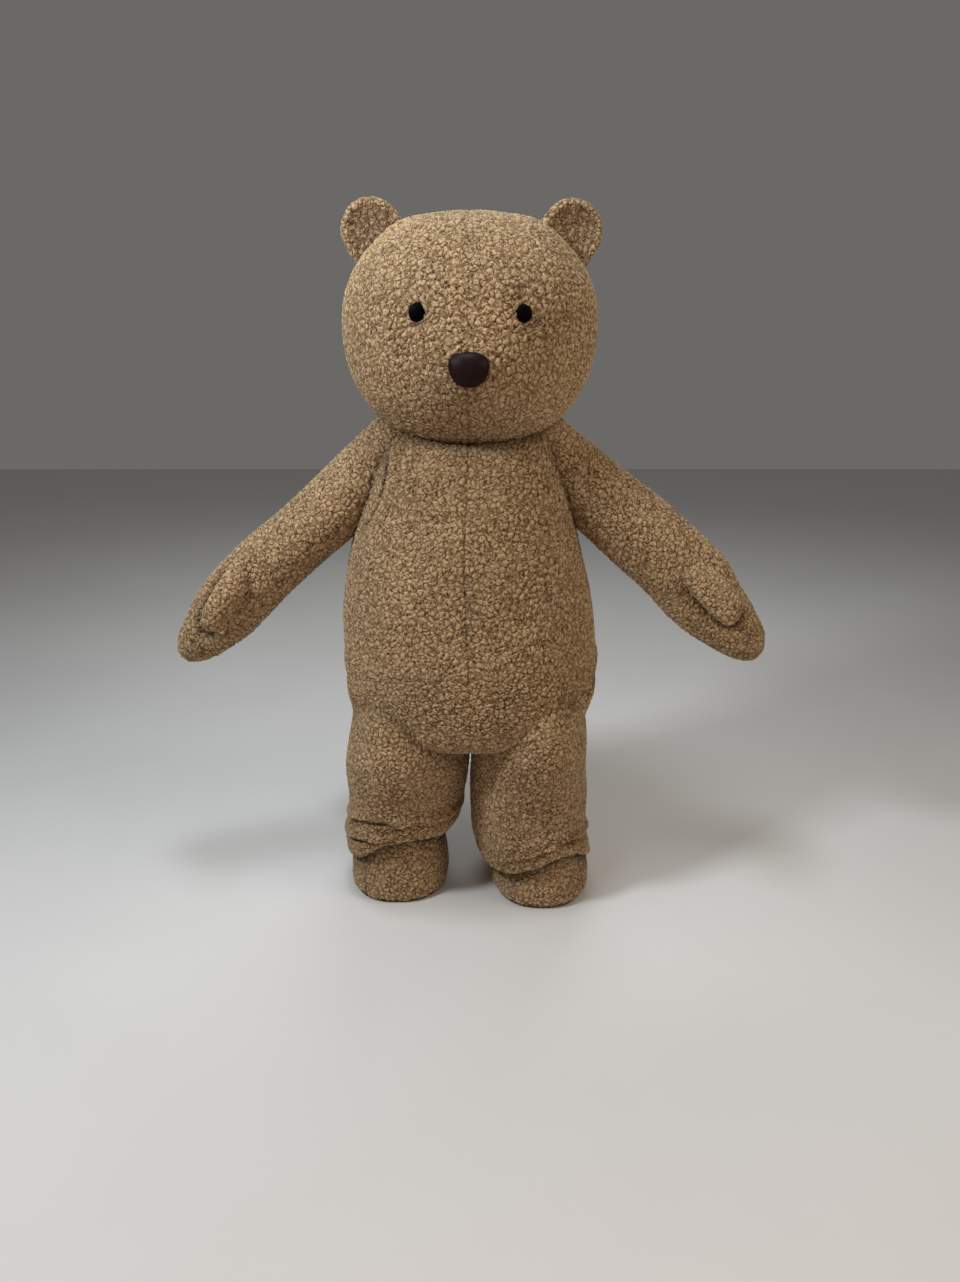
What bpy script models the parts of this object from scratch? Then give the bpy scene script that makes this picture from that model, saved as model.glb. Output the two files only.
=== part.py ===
"""Bear mascot costume, life size, built as it is cut and sewn.

A one-piece padded body with sewn-on sleeves, mittens, legs and feet, and a
separate hollow head that rests in the body's neck.  Every panel is a closed
wall of curly fleece, parted from its neighbours by a seam gap.  Metres, +Z up,
the costume looks along -Y and its wearer's left is +X.  Heights in the tables
are measured from the floor; the origin is at the wearer's shoulders.
"""
import math

import bmesh
import bpy
import numpy as np
from mathutils import Matrix, Vector
from mathutils.bvhtree import BVHTree

# ---------------------------------------------------------------- sizes
SHOULDER_HEIGHT = 1.270          # origin above the floor
WALL = 0.006                     # curly pile on its backing cloth
HEAD_WALL = 0.009                # the same cloth on a stiffer backing that keeps the ball shape
SOLE_THICKNESS = 0.006
SEAM = 0.0003                    # gap between sewn pieces
HALF_SEAM = SEAM / 2
SEAT_GAP = 0.0007                # gap under the eyes, the nose and the ears
REST_GAP = 0.0008                # gap between the head and the neck it rests in

HEAD_COLUMNS = 36                # points around each closed ring, a multiple of four
BODY_COLUMNS = 36
ARM_COLUMNS = 16
LEG_COLUMNS = 20
THUMB_COLUMNS = 10
EAR_COLUMNS = 16

HEAD_CENTRE_HEIGHT = 1.515
HEAD_HALF_WIDTH = 0.305
HEAD_FRONT = 0.283
HEAD_SHIFT = 0.003               # the head sits this far towards the wearer's left
HEAD_BACK = 0.275
HEAD_RISE = 0.252                # centre to crown
HEAD_DROP = 0.295                # centre to the lowest point that the ball would have
HEAD_RISE_POWER = 2.18           # 2 is an ellipse, more is squarer
HEAD_DROP_POWER = 2.15
HEAD_PLAN_POWER = 2.15
HEAD_ROWS = 12
HEAD_MOUTH_REACH = 0.45          # the open underside, as a share of the widest ring

MUZZLE_HEIGHT = 1.405
MUZZLE_HALF_WIDTH = 0.120
MUZZLE_HALF_HEIGHT = 0.085
MUZZLE_STAND = 0.030

EYE_SPREAD = (-0.1075, 0.1165)   # X of the two eyes
EYE_HEIGHT = 1.540
EYE_HALF = (0.0155, 0.015, 0.0195)   # half width, half depth, half height
EYE_SINK = 0.002                 # centre behind the cloth
NOSE_HEIGHT = 1.422
NOSE_HALF = (0.0435, 0.024, 0.0370)
NOSE_SINK = 0.004
NOSE_TAPER = 0.11                # how much narrower the foot of the nose is

EAR_CENTRES = {"right": (-0.228, 0.004, 1.727), "left": (0.242, 0.004, 1.724)}
EAR_RADIUS = 0.073
EAR_LEAN = math.radians(36)      # tilt of the ear's axis away from upright
EAR_TURN = math.radians(12)      # the open side turned outward
EAR_ROOT = 0.105                 # centre to the end inside the head
EAR_ROOT_FLARE = 1.10
EAR_FRONT = 0.024
EAR_BACK = 0.032

# The neck of the body follows the head's underside; each reach is a share of
# the head's widest ring, at the front, side and back.
NECK_RING_REACH = (0.50, 0.66, 0.60)
NECK_MOUTH_REACH = 0.455
NECK_RINGS = 3

BODY_TABLE = ("height", "shift", "half_width", "front", "back"), (
    (1.240, 0.000, 0.226, 0.176, 0.184),
    (1.200, -0.002, 0.239, 0.196, 0.202),
    (1.120, -0.005, 0.260, 0.222, 0.224),
    (1.040, -0.009, 0.280, 0.243, 0.240),
    (0.960, -0.010, 0.300, 0.259, 0.252),
    (0.880, -0.007, 0.318, 0.272, 0.260),
    (0.800, -0.004, 0.330, 0.281, 0.266),
    (0.720, 0.000, 0.334, 0.286, 0.270),
    (0.640, 0.003, 0.336, 0.286, 0.270),
    (0.600, 0.003, 0.335, 0.283, 0.266),
    (0.568, 0.002, 0.328, 0.276, 0.257),
    (0.545, 0.000, 0.315, 0.262, 0.243),
    (0.520, 0.000, 0.278, 0.226, 0.210),
    (0.490, 0.000, 0.160, 0.130, 0.120),
)
BODY_ROWS = 15
BODY_POLE_HEIGHT = 0.470
BODY_PLAN_POWER = 2.2
BELLY_SAG = 0.050                # the lip hangs lower in front than at the hips
SEAT_SAG = 0.025
BODY_BASE_SAG = 0.030            # and the base between the legs by this much
BODY_LIP_HEIGHT = 0.568
SAG_TOP = 0.72                   # sag fades out up to this height

# Each sleeve runs from a point inside the shoulder, straight out and down.
ARM_ORIGIN = (0.127, 1.272)      # X and height
ARM_SLOPE = math.radians(41.1)   # below level
ARM_PLAN_POWER = 2.1
ARM_ROWS = 12
ARM_TIP = 0.871
ARM_HOLE_LONGER = 0.010
ARM_TABLE_COLUMNS = ("along", "rise", "half_height", "half_depth", "forward")
ARM_TABLES = {
    "right": (ARM_TABLE_COLUMNS, (
        (0.000, 0.000, 0.0890, 0.096, 0.000),
        (0.100, -0.001, 0.0900, 0.096, 0.000),
        (0.250, -0.002, 0.0880, 0.092, 0.004),
        (0.400, -0.001, 0.0850, 0.088, 0.010),
        (0.530, 0.002, 0.0885, 0.086, 0.016),
        (0.620, -0.003, 0.0906, 0.082, 0.020),
        (0.690, -0.010, 0.0870, 0.074, 0.024),
        (0.750, -0.015, 0.0763, 0.066, 0.026),
        (0.798, -0.020, 0.0620, 0.055, 0.028),
        (0.838, -0.022, 0.0454, 0.042, 0.029),
        (0.864, -0.023, 0.0250, 0.024, 0.030),
    )),
    "left": (ARM_TABLE_COLUMNS, (
        (0.000, 0.000, 0.0890, 0.098, 0.000),
        (0.100, 0.001, 0.0900, 0.098, 0.000),
        (0.250, 0.006, 0.0940, 0.096, 0.004),
        (0.400, 0.010, 0.1010, 0.094, 0.010),
        (0.530, 0.010, 0.1025, 0.092, 0.016),
        (0.620, 0.003, 0.1040, 0.086, 0.020),
        (0.690, -0.006, 0.0920, 0.078, 0.024),
        (0.750, -0.009, 0.0790, 0.069, 0.026),
        (0.798, -0.012, 0.0657, 0.058, 0.028),
        (0.838, -0.014, 0.0490, 0.045, 0.029),
        (0.864, -0.018, 0.0260, 0.025, 0.030),
    )),
}

# A thumb starts inside the mitten and comes forward out of its front panel.
THUMB_TABLE_COLUMNS = ("x", "y", "height", "half_width", "half_depth")
THUMB_TABLES = {
    "right": (THUMB_TABLE_COLUMNS, (
        (0.555, -0.055, 0.945, 0.030, 0.030),
        (0.580, -0.088, 0.905, 0.034, 0.033),
        (0.607, -0.118, 0.862, 0.034, 0.031),
        (0.632, -0.130, 0.822, 0.032, 0.028),
        (0.648, -0.132, 0.793, 0.022, 0.020),
    )),
    "left": (THUMB_TABLE_COLUMNS, (
        (0.560, -0.055, 0.965, 0.034, 0.030),
        (0.592, -0.092, 0.930, 0.040, 0.034),
        (0.628, -0.126, 0.892, 0.041, 0.032),
        (0.658, -0.140, 0.857, 0.036, 0.028),
        (0.674, -0.142, 0.836, 0.024, 0.019),
    )),
}
THUMB_ROWS = 6
THUMB_TIP_REACH = 0.010
THUMB_WALL = 0.005

# The last six rows are the cloth that bunches above the hem.
LEG_TABLE_COLUMNS = ("height", "inner", "outer", "front", "back")
LEG_TABLES = {
    "right": (LEG_TABLE_COLUMNS, (
        (0.610, 0.050, 0.262, 0.170, 0.160),
        (0.570, 0.030, 0.296, 0.222, 0.195),
        (0.520, 0.018, 0.320, 0.256, 0.220),
        (0.460, 0.014, 0.331, 0.255, 0.222),
        (0.370, 0.012, 0.345, 0.234, 0.214),
        (0.290, 0.017, 0.341, 0.213, 0.204),
        (0.225, 0.023, 0.343, 0.200, 0.196),
        (0.198, 0.022, 0.352, 0.206, 0.200),
        (0.180, 0.032, 0.342, 0.194, 0.190),
        (0.156, 0.030, 0.356, 0.206, 0.198),
        (0.132, 0.040, 0.352, 0.199, 0.192),
        (0.121, 0.052, 0.345, 0.190, 0.184),
    )),
    "left": (LEG_TABLE_COLUMNS, (
        (0.610, 0.050, 0.262, 0.170, 0.160),
        (0.570, 0.030, 0.292, 0.222, 0.195),
        (0.520, 0.018, 0.313, 0.258, 0.220),
        (0.460, 0.013, 0.319, 0.260, 0.222),
        (0.370, 0.011, 0.320, 0.244, 0.216),
        (0.280, 0.006, 0.327, 0.227, 0.208),
        (0.190, 0.005, 0.325, 0.222, 0.200),
        (0.158, 0.008, 0.331, 0.227, 0.204),
        (0.140, 0.016, 0.326, 0.216, 0.196),
        (0.118, 0.016, 0.338, 0.227, 0.204),
        (0.096, 0.026, 0.339, 0.222, 0.200),
        (0.085, 0.038, 0.334, 0.213, 0.192),
    )),
}
LEG_PLAN_POWER = 2.3
LEG_ROWS = 15
HEM_HEIGHTS = {                  # the hem's edge in front, outside, behind and inside
    "right": {"front": 0.205, "outer": 0.115, "back": 0.080, "inner": 0.165},
    "left": {"front": 0.158, "outer": 0.085, "back": 0.060, "inner": 0.080},
}
HEM_TILT_TOP = 0.42              # the slant of the hem fades out up to this height
HEM_TURN_DROP = 0.006            # the hem turns in and under to the foot
HEM_STAND = {"right": 0.0043, "left": 0.0066}   # outside of the turned-in edge off the foot

FOOT_TABLE_COLUMNS = ("height", "half_width", "front", "back")
FOOT_TABLES = {
    "right": (FOOT_TABLE_COLUMNS, (
        (0.0063, 0.131, 0.162, 0.150),
        (0.022, 0.138, 0.169, 0.155),
        (0.060, 0.137, 0.169, 0.155),
        (0.105, 0.130, 0.166, 0.152),
        (0.150, 0.122, 0.158, 0.147),
        (0.270, 0.115, 0.146, 0.140),
    )),
    "left": (FOOT_TABLE_COLUMNS, (
        (0.0063, 0.133, 0.190, 0.140),
        (0.022, 0.140, 0.197, 0.146),
        (0.050, 0.139, 0.197, 0.146),
        (0.080, 0.131, 0.193, 0.144),
        (0.130, 0.120, 0.184, 0.140),
        (0.270, 0.112, 0.164, 0.134),
    )),
}
FOOT_CENTRE = {"right": 0.205, "left": 0.198}
FOOT_SEAM_COLUMN = {"right": 18, "left": 3}   # the upright seam of each foot's band
FOOT_PLAN_POWER = 2.4

# The zip closes the centre back.
ZIP_FOOT_HEIGHT = 0.620
BELOW_ZIP_SHARE = 0.08           # the seam closes within this share of a row under the zip
ZIP_GAP_HALF = 0.0034            # half the gap between the back panels along the zip
ZIP_TAPE_HALF = 0.014
ZIP_TAPE_THICKNESS = 0.0012
ZIP_TAPE_SET_BACK = 0.0012       # tape behind the panels' inner face
ZIP_CHAIN_HALF = 0.0030
ZIP_CHAIN_SET_BACK = 0.0006      # chain below the cloth's outer face
SLIDER_HALF = (0.0055, 0.0030, 0.0085)
SLIDER_CLEAR = 0.0006            # slider above the cloth
SLIDER_BELOW_TOP = 0.014
BAIL_RADIUS = 0.0011
BAIL_HALF_WIDTH = 0.0050
BAIL_GAP_HALF = 0.0034           # inside of the bail's two posts
BAIL_STAND = 0.0036              # bail pin out from the slider's face
BAIL_SET_UP = 0.0030             # and above the slider's middle
BAIL_POST_SPREAD = 1.4           # the posts' half height as a share of the pin's radius
BAIL_POST_SINK = 0.00044         # how far the posts run past half way to the pin
BAIL_PIN_SHORT = 0.0004          # the pin ends inside the posts
PULL_LENGTH = 0.034
PULL_HALF_WIDTH = 0.0045
PULL_THICKNESS = 0.0016
PULL_EYE_RADIUS = 0.0027
PULL_PLATE_START = 0.0020        # the narrow neck starts inside the eye's rim
PULL_SHOULDER = 0.0052           # and widens to the plate here
PULL_LAP = 0.001                 # neck into plate
PULL_NECK_SET_IN = 0.0003        # the neck's sides stay inside the eye's
PULL_SIDE_PLAY = 0.0004
PULL_PIN_PLAY = 0.0004

MATERIALS = {                    # base colour, roughness, metallic
    "fleece": ((0.33, 0.215, 0.115), 0.95, 0.0),
    "fleece_dark": ((0.20, 0.13, 0.075), 0.95, 0.0),
    "eye_black": ((0.006, 0.005, 0.006), 0.18, 0.0),
    "nose_brown": ((0.020, 0.010, 0.014), 0.32, 0.0),
    "sole_grip": ((0.030, 0.027, 0.025), 0.80, 0.0),
    "zip_tape": ((0.150, 0.095, 0.055), 0.75, 0.0),
    "zip_metal": ((0.42, 0.35, 0.24), 0.35, 0.9),
}
SIDES = {"right": -1.0, "left": 1.0}   # the wearer's right is at -X


# ---------------------------------------------------------------- tables and curves
def columns_of(table):
    names, rows = table
    values = np.array(rows, dtype=float)
    return {name: values[:, index] for index, name in enumerate(names)}


def smooth(at, stations, values):
    """Read a curve without overshoot (monotone cubic) through the stations."""
    steps = np.diff(stations)
    slopes = np.diff(values) / steps
    tangents = np.zeros_like(values)
    inner = slopes[:-1] * slopes[1:] > 0
    with np.errstate(divide="ignore", invalid="ignore"):
        mean = 2.0 * slopes[:-1] * slopes[1:] / (slopes[:-1] + slopes[1:])
    tangents[1:-1] = np.where(inner, mean, 0.0)
    tangents[0], tangents[-1] = slopes[0], slopes[-1]
    place = np.clip(np.searchsorted(stations, at, side="right") - 1, 0, len(steps) - 1)
    t = (at - stations[place]) / steps[place]
    low, high = values[place], values[place + 1]
    start, end = tangents[place] * steps[place], tangents[place + 1] * steps[place]
    return ((2 * t**3 - 3 * t**2 + 1) * low + (t**3 - 2 * t**2 + t) * start
            + (3 * t**2 - 2 * t**3) * high + (t**3 - t**2) * end)


def resample(table, key, count):
    """Spread `count` rows evenly over a table's own rows, so that close rows stay close."""
    data = columns_of(table)
    stations = np.arange(len(data[key]), dtype=float)
    at = np.linspace(0.0, stations[-1], count)
    return {name: smooth(at, stations, values) for name, values in data.items()}


def ring_angles(count):
    return np.arange(count) * (2.0 * math.pi / count)


def oval(angles, half_side, front, back, power):
    """Superellipse: sideways and frontways distances at angles from the front."""
    sine, cosine = np.sin(angles), np.cos(angles)
    side = half_side * np.sign(sine) * np.abs(sine) ** (2.0 / power)
    reach = np.where(cosine > 0.0, front, back)
    ahead = reach * np.sign(cosine) * np.abs(cosine) ** (2.0 / power)
    return side, ahead


def up(height):
    """A height from the floor as a Z in the costume's own frame."""
    return height - SHOULDER_HEIGHT


# ---------------------------------------------------------------- forms
class Form:
    """Rings of points around a hollow, with outward normals, and poles where it closes."""

    def __init__(self, rings, first_pole=None, last_pole=None):
        self.rings = np.asarray(rings, dtype=float)
        around = np.roll(self.rings, -1, axis=1) - np.roll(self.rings, 1, axis=1)
        along = np.gradient(self.rings, axis=0)
        normals = np.cross(around, along)
        normals /= np.linalg.norm(normals, axis=2, keepdims=True)
        centres = self.rings.mean(axis=1, keepdims=True)
        if np.sum(normals * (self.rings - centres)) < 0.0:
            normals = -normals
        self.normals = normals
        self.poles = [self._pole(first_pole, 0), self._pole(last_pole, -1)]

    def _pole(self, point, row):
        if point is None:
            return None
        point = np.asarray(point, dtype=float)
        away = point - self.rings[row].mean(axis=0)
        return point, away / np.linalg.norm(away)

    def grown(self, distance):
        """Rings and poles moved out along the normals."""
        poles = [None if pole is None else pole[0] + distance * pole[1] for pole in self.poles]
        return self.rings + distance * self.normals, poles


def new_object(name, vertices, faces, collection):
    mesh = bpy.data.meshes.new(name)
    mesh.from_pydata([tuple(point) for point in vertices], [], faces)
    work = bmesh.new()
    work.from_mesh(mesh)
    bmesh.ops.recalc_face_normals(work, faces=work.faces)
    work.to_mesh(mesh)
    work.free()
    mesh.shade_smooth()
    mesh.set_sharp_from_angle(angle=math.radians(50))
    obj = bpy.data.objects.new(name, mesh)
    collection.objects.link(obj)
    return obj


class Skin:
    """Vertices and faces of one closed mesh, gathered grid by grid."""

    def __init__(self):
        self.vertices = []
        self.faces = []

    def add(self, points):
        start = len(self.vertices)
        self.vertices.extend(points.reshape(-1, 3))
        return np.arange(start, start + points.size // 3).reshape(points.shape[:-1])

    def sheet(self, grid, closed):
        """Triangles over a grid of vertex numbers, joined round if `closed`.

        Every grid is split along the same diagonal, so that a cutter made from a
        form follows the facets of the panels made from it.
        """
        ahead = np.roll(grid, -1, axis=1) if closed else grid[:, 1:]
        here = grid if closed else grid[:, :-1]
        for corners in ((here[:-1], ahead[:-1], ahead[1:]), (here[:-1], ahead[1:], here[1:])):
            self.faces.extend(np.stack(corners, axis=-1).reshape(-1, 3).tolist())

    def fan(self, ring, tip, closed):
        ends = np.roll(ring, -1) if closed else ring[1:]
        starts = ring if closed else ring[:-1]
        self.faces.extend([a, b, tip] for a, b in zip(starts.tolist(), ends.tolist()))

    def strip(self, edge, other, closed):
        self.sheet(np.stack([edge, other]), closed)


def wall_panel(name, form, thickness, collection, span=None, seams=((0, 0, 0), (0, 0, 0))):
    """A closed wall between a form's surface and the same surface moved inward.

    `span` gives the first and last column of the panel, and `seams` the vectors
    that hold its two long edges back from the neighbours.  A seam may also be
    an array with one vector for each row.
    """
    count = form.rings.shape[1]
    closed = span is None
    first, last = (0, count - 1) if closed else span
    picked = np.arange(first, last + 1) % count
    inner_rings, inner_poles = form.grown(-thickness)
    outer = form.rings[:, picked].copy()
    inner = inner_rings[:, picked].copy()
    shifts = [np.broadcast_to(np.asarray(seam, dtype=float), (len(outer), 3)) for seam in seams]
    if not closed:
        for sheet in (outer, inner):
            sheet[:, 0] += shifts[0]
            sheet[:, -1] += shifts[1]
    skin = Skin()
    outer_ids, inner_ids = skin.add(outer), skin.add(inner)
    skin.sheet(outer_ids, closed)
    skin.sheet(inner_ids, closed)
    tips = []
    for end, row in ((0, 0), (1, -1)):
        pole = form.poles[end]
        if pole is None:
            skin.strip(outer_ids[row], inner_ids[row], closed)
            tips.append(None)
            continue
        shift = shifts[0][row] + shifts[1][row] if not closed else np.zeros(3)
        pair = skin.add(np.array([pole[0] + shift, inner_poles[end] + shift]))
        skin.fan(outer_ids[row], int(pair[0]), closed)
        skin.fan(inner_ids[row], int(pair[1]), closed)
        tips.append(pair)
    if not closed:
        for column in (0, -1):
            outer_edge, inner_edge = list(outer_ids[:, column]), list(inner_ids[:, column])
            if tips[0] is not None:
                outer_edge.insert(0, tips[0][0])
                inner_edge.insert(0, tips[0][1])
            if tips[1] is not None:
                outer_edge.append(tips[1][0])
                inner_edge.append(tips[1][1])
            skin.strip(np.array(outer_edge), np.array(inner_edge), False)
    return new_object(name, skin.vertices, skin.faces, collection)


def solid_form(name, form, grow, collection):
    """The whole space inside a form, its open ends capped, as one closed solid."""
    rings, poles = form.grown(grow)
    skin = Skin()
    ids = skin.add(rings)
    skin.sheet(ids, True)
    for end, row in ((0, 0), (1, -1)):
        tip = poles[end] if poles[end] is not None else rings[row].mean(axis=0)
        skin.fan(ids[row], int(skin.add(np.array([tip]))[0]), True)
    return new_object(name, skin.vertices, skin.faces, collection)


# ---------------------------------------------------------------- object helpers
def make_collection(name):
    collection = bpy.data.collections.new(name)
    bpy.context.scene.collection.children.link(collection)
    return collection


def make_material(name):
    colour, roughness, metallic = MATERIALS[name]
    material = bpy.data.materials.new(name)
    material.use_nodes = True
    shader = material.node_tree.nodes["Principled BSDF"]
    shader.inputs["Base Color"].default_value = (*colour, 1.0)
    shader.inputs["Roughness"].default_value = roughness
    shader.inputs["Metallic"].default_value = metallic
    material.diffuse_color = (*colour, 1.0)
    return material


def relink(obj, collection):
    for other in list(obj.users_collection):
        other.objects.unlink(obj)
    collection.objects.link(obj)
    return obj


def as_cutter(obj):
    obj.hide_render = True
    obj.display_type = "WIRE"
    return obj


def combine(obj, other, operation):
    """Apply one exact Boolean to `obj` and keep its largest connected piece."""
    modifier = obj.modifiers.new(other.name, "BOOLEAN")
    modifier.operation = operation
    modifier.object = other
    modifier.solver = "EXACT"
    bpy.context.view_layer.update()
    evaluated = obj.evaluated_get(bpy.context.evaluated_depsgraph_get())
    mesh = bpy.data.meshes.new_from_object(evaluated)
    obj.modifiers.clear()
    obj.data = mesh
    keep_largest(mesh)


def keep_largest(mesh):
    """Drop the offcuts that a cut leaves beside the piece."""
    work = bmesh.new()
    work.from_mesh(mesh)
    bmesh.ops.remove_doubles(work, verts=work.verts, dist=1e-6)
    pieces = []
    left = set(work.verts)
    while left:
        piece = {left.pop()}
        border = list(piece)
        while border:
            vertex = border.pop()
            for edge in vertex.link_edges:
                other = edge.other_vert(vertex)
                if other not in piece:
                    piece.add(other)
                    border.append(other)
        left -= piece
        pieces.append(piece)
    largest = max(pieces, key=len)
    offcuts = [vertex for vertex in work.verts if vertex not in largest]
    bmesh.ops.delete(work, geom=offcuts, context="VERTS")
    work.to_mesh(mesh)
    work.free()


def finish(obj, material):
    obj.data.materials.clear()
    obj.data.materials.append(material)
    obj.data.shade_smooth()
    obj.data.set_sharp_from_angle(angle=math.radians(50))
    return obj


# ---------------------------------------------------------------- head
def head_rings(reaches, upper, columns):
    """Rings of the head's ball at shares of its widest ring, above or below it."""
    angles = ring_angles(columns)
    side, ahead = oval(angles, HEAD_HALF_WIDTH, HEAD_FRONT, HEAD_BACK, HEAD_PLAN_POWER)
    rings = []
    for reach, above in zip(reaches, upper):
        span, power = (HEAD_RISE, HEAD_RISE_POWER) if above else (-HEAD_DROP, HEAD_DROP_POWER)
        reach = np.broadcast_to(reach, angles.shape)
        height = HEAD_CENTRE_HEIGHT + span * (1.0 - np.minimum(reach, 1.0) ** power) ** (1.0 / power)
        rings.append(np.stack([HEAD_SHIFT + reach * side, -reach * ahead, up(height)], axis=1))
    return np.array(rings)


def head_form(columns=HEAD_COLUMNS, rows=HEAD_ROWS):
    """The ball of the head from the crown to its open underside, with the raised muzzle."""
    last_turn = math.pi - math.asin(HEAD_MOUTH_REACH ** (HEAD_DROP_POWER / 2.0))
    turns = np.linspace(0.0, last_turn, rows + 1)[1:]
    upper = turns < 0.5 * math.pi
    reaches = np.sin(turns) ** (2.0 / np.where(upper, HEAD_RISE_POWER, HEAD_DROP_POWER))
    rings = head_rings(reaches, upper, columns)
    crown = (HEAD_SHIFT, 0.0, up(HEAD_CENTRE_HEIGHT + HEAD_RISE))
    normals = Form(rings, first_pole=crown).normals
    x, y, z = rings[..., 0], rings[..., 1], rings[..., 2]
    across, rise = (x - HEAD_SHIFT) / MUZZLE_HALF_WIDTH, (z - up(MUZZLE_HEIGHT)) / MUZZLE_HALF_HEIGHT
    spread = across**2 + rise**2
    stand = np.where(y < 0.0, MUZZLE_STAND * np.exp(-spread), 0.0)
    return Form(rings + stand[..., None] * normals, first_pole=crown)


def face_front_at(solid, x, height):
    """Y of the face at a place, met by a line from straight in front."""
    mesh = solid.data
    tree = BVHTree.FromPolygons([vertex.co for vertex in mesh.vertices],
                                [face.vertices for face in mesh.polygons])
    hit = tree.ray_cast(Vector((x, -1.0, up(height))), Vector((0.0, 1.0, 0.0)))[0]
    return hit.y


def quarter_panels(names, form, thickness, collection, back_gap=None):
    """Four panels of a closed form, parted at the centre front, sides and centre back."""
    quarter = form.rings.shape[1] // 4
    toward_left, toward_front = np.array([HALF_SEAM, 0, 0]), np.array([0, -HALF_SEAM, 0])
    back_shift = toward_left if back_gap is None else back_gap
    spans = (
        (names["front_left"], (0, quarter), (toward_left, toward_front)),
        (names["back_left"], (quarter, 2 * quarter), (-toward_front, back_shift)),
        (names["back_right"], (2 * quarter, 3 * quarter), (-back_shift, -toward_front)),
        (names["front_right"], (3 * quarter, 4 * quarter), (toward_front, -toward_left)),
    )
    return {name: wall_panel(name, form, thickness, collection, span, seams)
            for name, span, seams in spans}


def make_head(parts, fleece):
    form = head_form()
    names = {"front_left": "face_left", "front_right": "face_right",
             "back_left": "head_back_left", "back_right": "head_back_right"}
    for panel in quarter_panels(names, form, HEAD_WALL, parts).values():
        finish(panel, fleece)
    return form


def ear_form(side):
    """An ear as rings along its own axis, from inside the head to its round tip."""
    sign = SIDES[side]
    along = np.array([-EAR_ROOT, -0.055, -0.020, 0.015, 0.040, 0.057, 0.067])
    swell = np.clip(1.0 - (np.maximum(along, 0.0) / EAR_RADIUS) ** 2, 0.0, 1.0) ** 0.5
    half_width = EAR_RADIUS * swell
    half_width[:2] *= EAR_ROOT_FLARE
    angles = ring_angles(EAR_COLUMNS)
    axis = np.array([math.sin(EAR_LEAN) * sign, 0.0, math.cos(EAR_LEAN)])
    facing = np.array([math.sin(EAR_TURN) * sign, -math.cos(EAR_TURN), 0.0])
    facing -= axis * facing.dot(axis)
    facing /= np.linalg.norm(facing)
    sideways = np.cross(axis, facing)
    x, y, height = EAR_CENTRES[side]
    centre = np.array([x, y, up(height)])
    rings = []
    for distance, width, share in zip(along, half_width, swell):
        across, ahead = oval(angles, width, EAR_FRONT * share, EAR_BACK * share, 2.0)
        middle = centre + axis * distance
        rings.append(middle + across[:, None] * sideways + ahead[:, None] * facing)
    tip = centre + axis * EAR_RADIUS
    return Form(rings, last_pole=tip), centre, sideways, facing, axis


def half_space(name, centre, sideways, facing, axis, collection):
    """A box whose back face lies in the plane through `centre`, with `facing` outward."""
    size = 0.4
    bpy.ops.mesh.primitive_cube_add(size=size)
    box = bpy.context.object
    box.name = name
    turn = Matrix((-sideways, facing, axis)).transposed().to_4x4()
    place = Vector(centre) + Vector(facing) * (0.5 * size + HALF_SEAM)
    box.data.transform(Matrix.Translation(place) @ turn)
    return as_cutter(relink(box, collection))


def make_ears(parts, cutters, head_solid, fleece, inner_fleece):
    for side in SIDES:
        form, centre, sideways, facing, axis = ear_form(side)
        for face, direction, cloth in (("front", 1.0, inner_fleece), ("back", -1.0, fleece)):
            ear = solid_form(f"ear_{side}_{face}", form, 0.0, parts)
            half = half_space(f"ear_{side}_{face}_half", centre, sideways * direction,
                              facing * direction, axis, cutters)
            combine(ear, half, "INTERSECT")
            combine(ear, head_solid, "DIFFERENCE")
            finish(ear, cloth)


def dome(name, centre, half_sizes, taper, collection, segments, rings):
    """A rounded button, narrower at its foot by `taper`."""
    bpy.ops.mesh.primitive_uv_sphere_add(segments=segments, ring_count=rings, radius=1.0)
    obj = bpy.context.object
    obj.name = name
    for vertex in obj.data.vertices:
        width = 1.0 + taper * vertex.co.z
        vertex.co.x *= half_sizes[0] * width
        vertex.co.y *= half_sizes[1]
        vertex.co.z *= half_sizes[2]
        vertex.co += Vector(centre)
    return relink(obj, collection)


def make_face(parts, head_solid, eye_material, nose_material):
    for side, x in zip(("right", "left"), EYE_SPREAD):
        y = face_front_at(head_solid, x, EYE_HEIGHT) + EYE_SINK
        eye = dome(f"eye_{side}", (x, y, up(EYE_HEIGHT)), EYE_HALF, 0.0, parts, 12, 8)
        combine(eye, head_solid, "DIFFERENCE")
        finish(eye, eye_material)
    y = face_front_at(head_solid, HEAD_SHIFT, NOSE_HEIGHT) + NOSE_SINK
    nose = dome("nose", (HEAD_SHIFT, y, up(NOSE_HEIGHT)), NOSE_HALF, NOSE_TAPER, parts, 16, 10)
    combine(nose, head_solid, "DIFFERENCE")
    finish(nose, nose_material)


# ---------------------------------------------------------------- body
def neck_rings(columns):
    """Rings just under the head: the open neck, and out to where the shoulders meet it."""
    ahead = np.cos(ring_angles(columns))
    front, side, back = NECK_RING_REACH
    reach = side + (np.where(ahead > 0.0, front, back) - side) * ahead**2
    mouth = np.full(columns, NECK_MOUTH_REACH)
    reaches = [mouth + (reach - mouth) * share for share in np.linspace(0.0, 1.0, NECK_RINGS)]
    rings = head_rings(reaches, [False] * NECK_RINGS, columns)
    return rings + REST_GAP * Form(rings).normals


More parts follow.
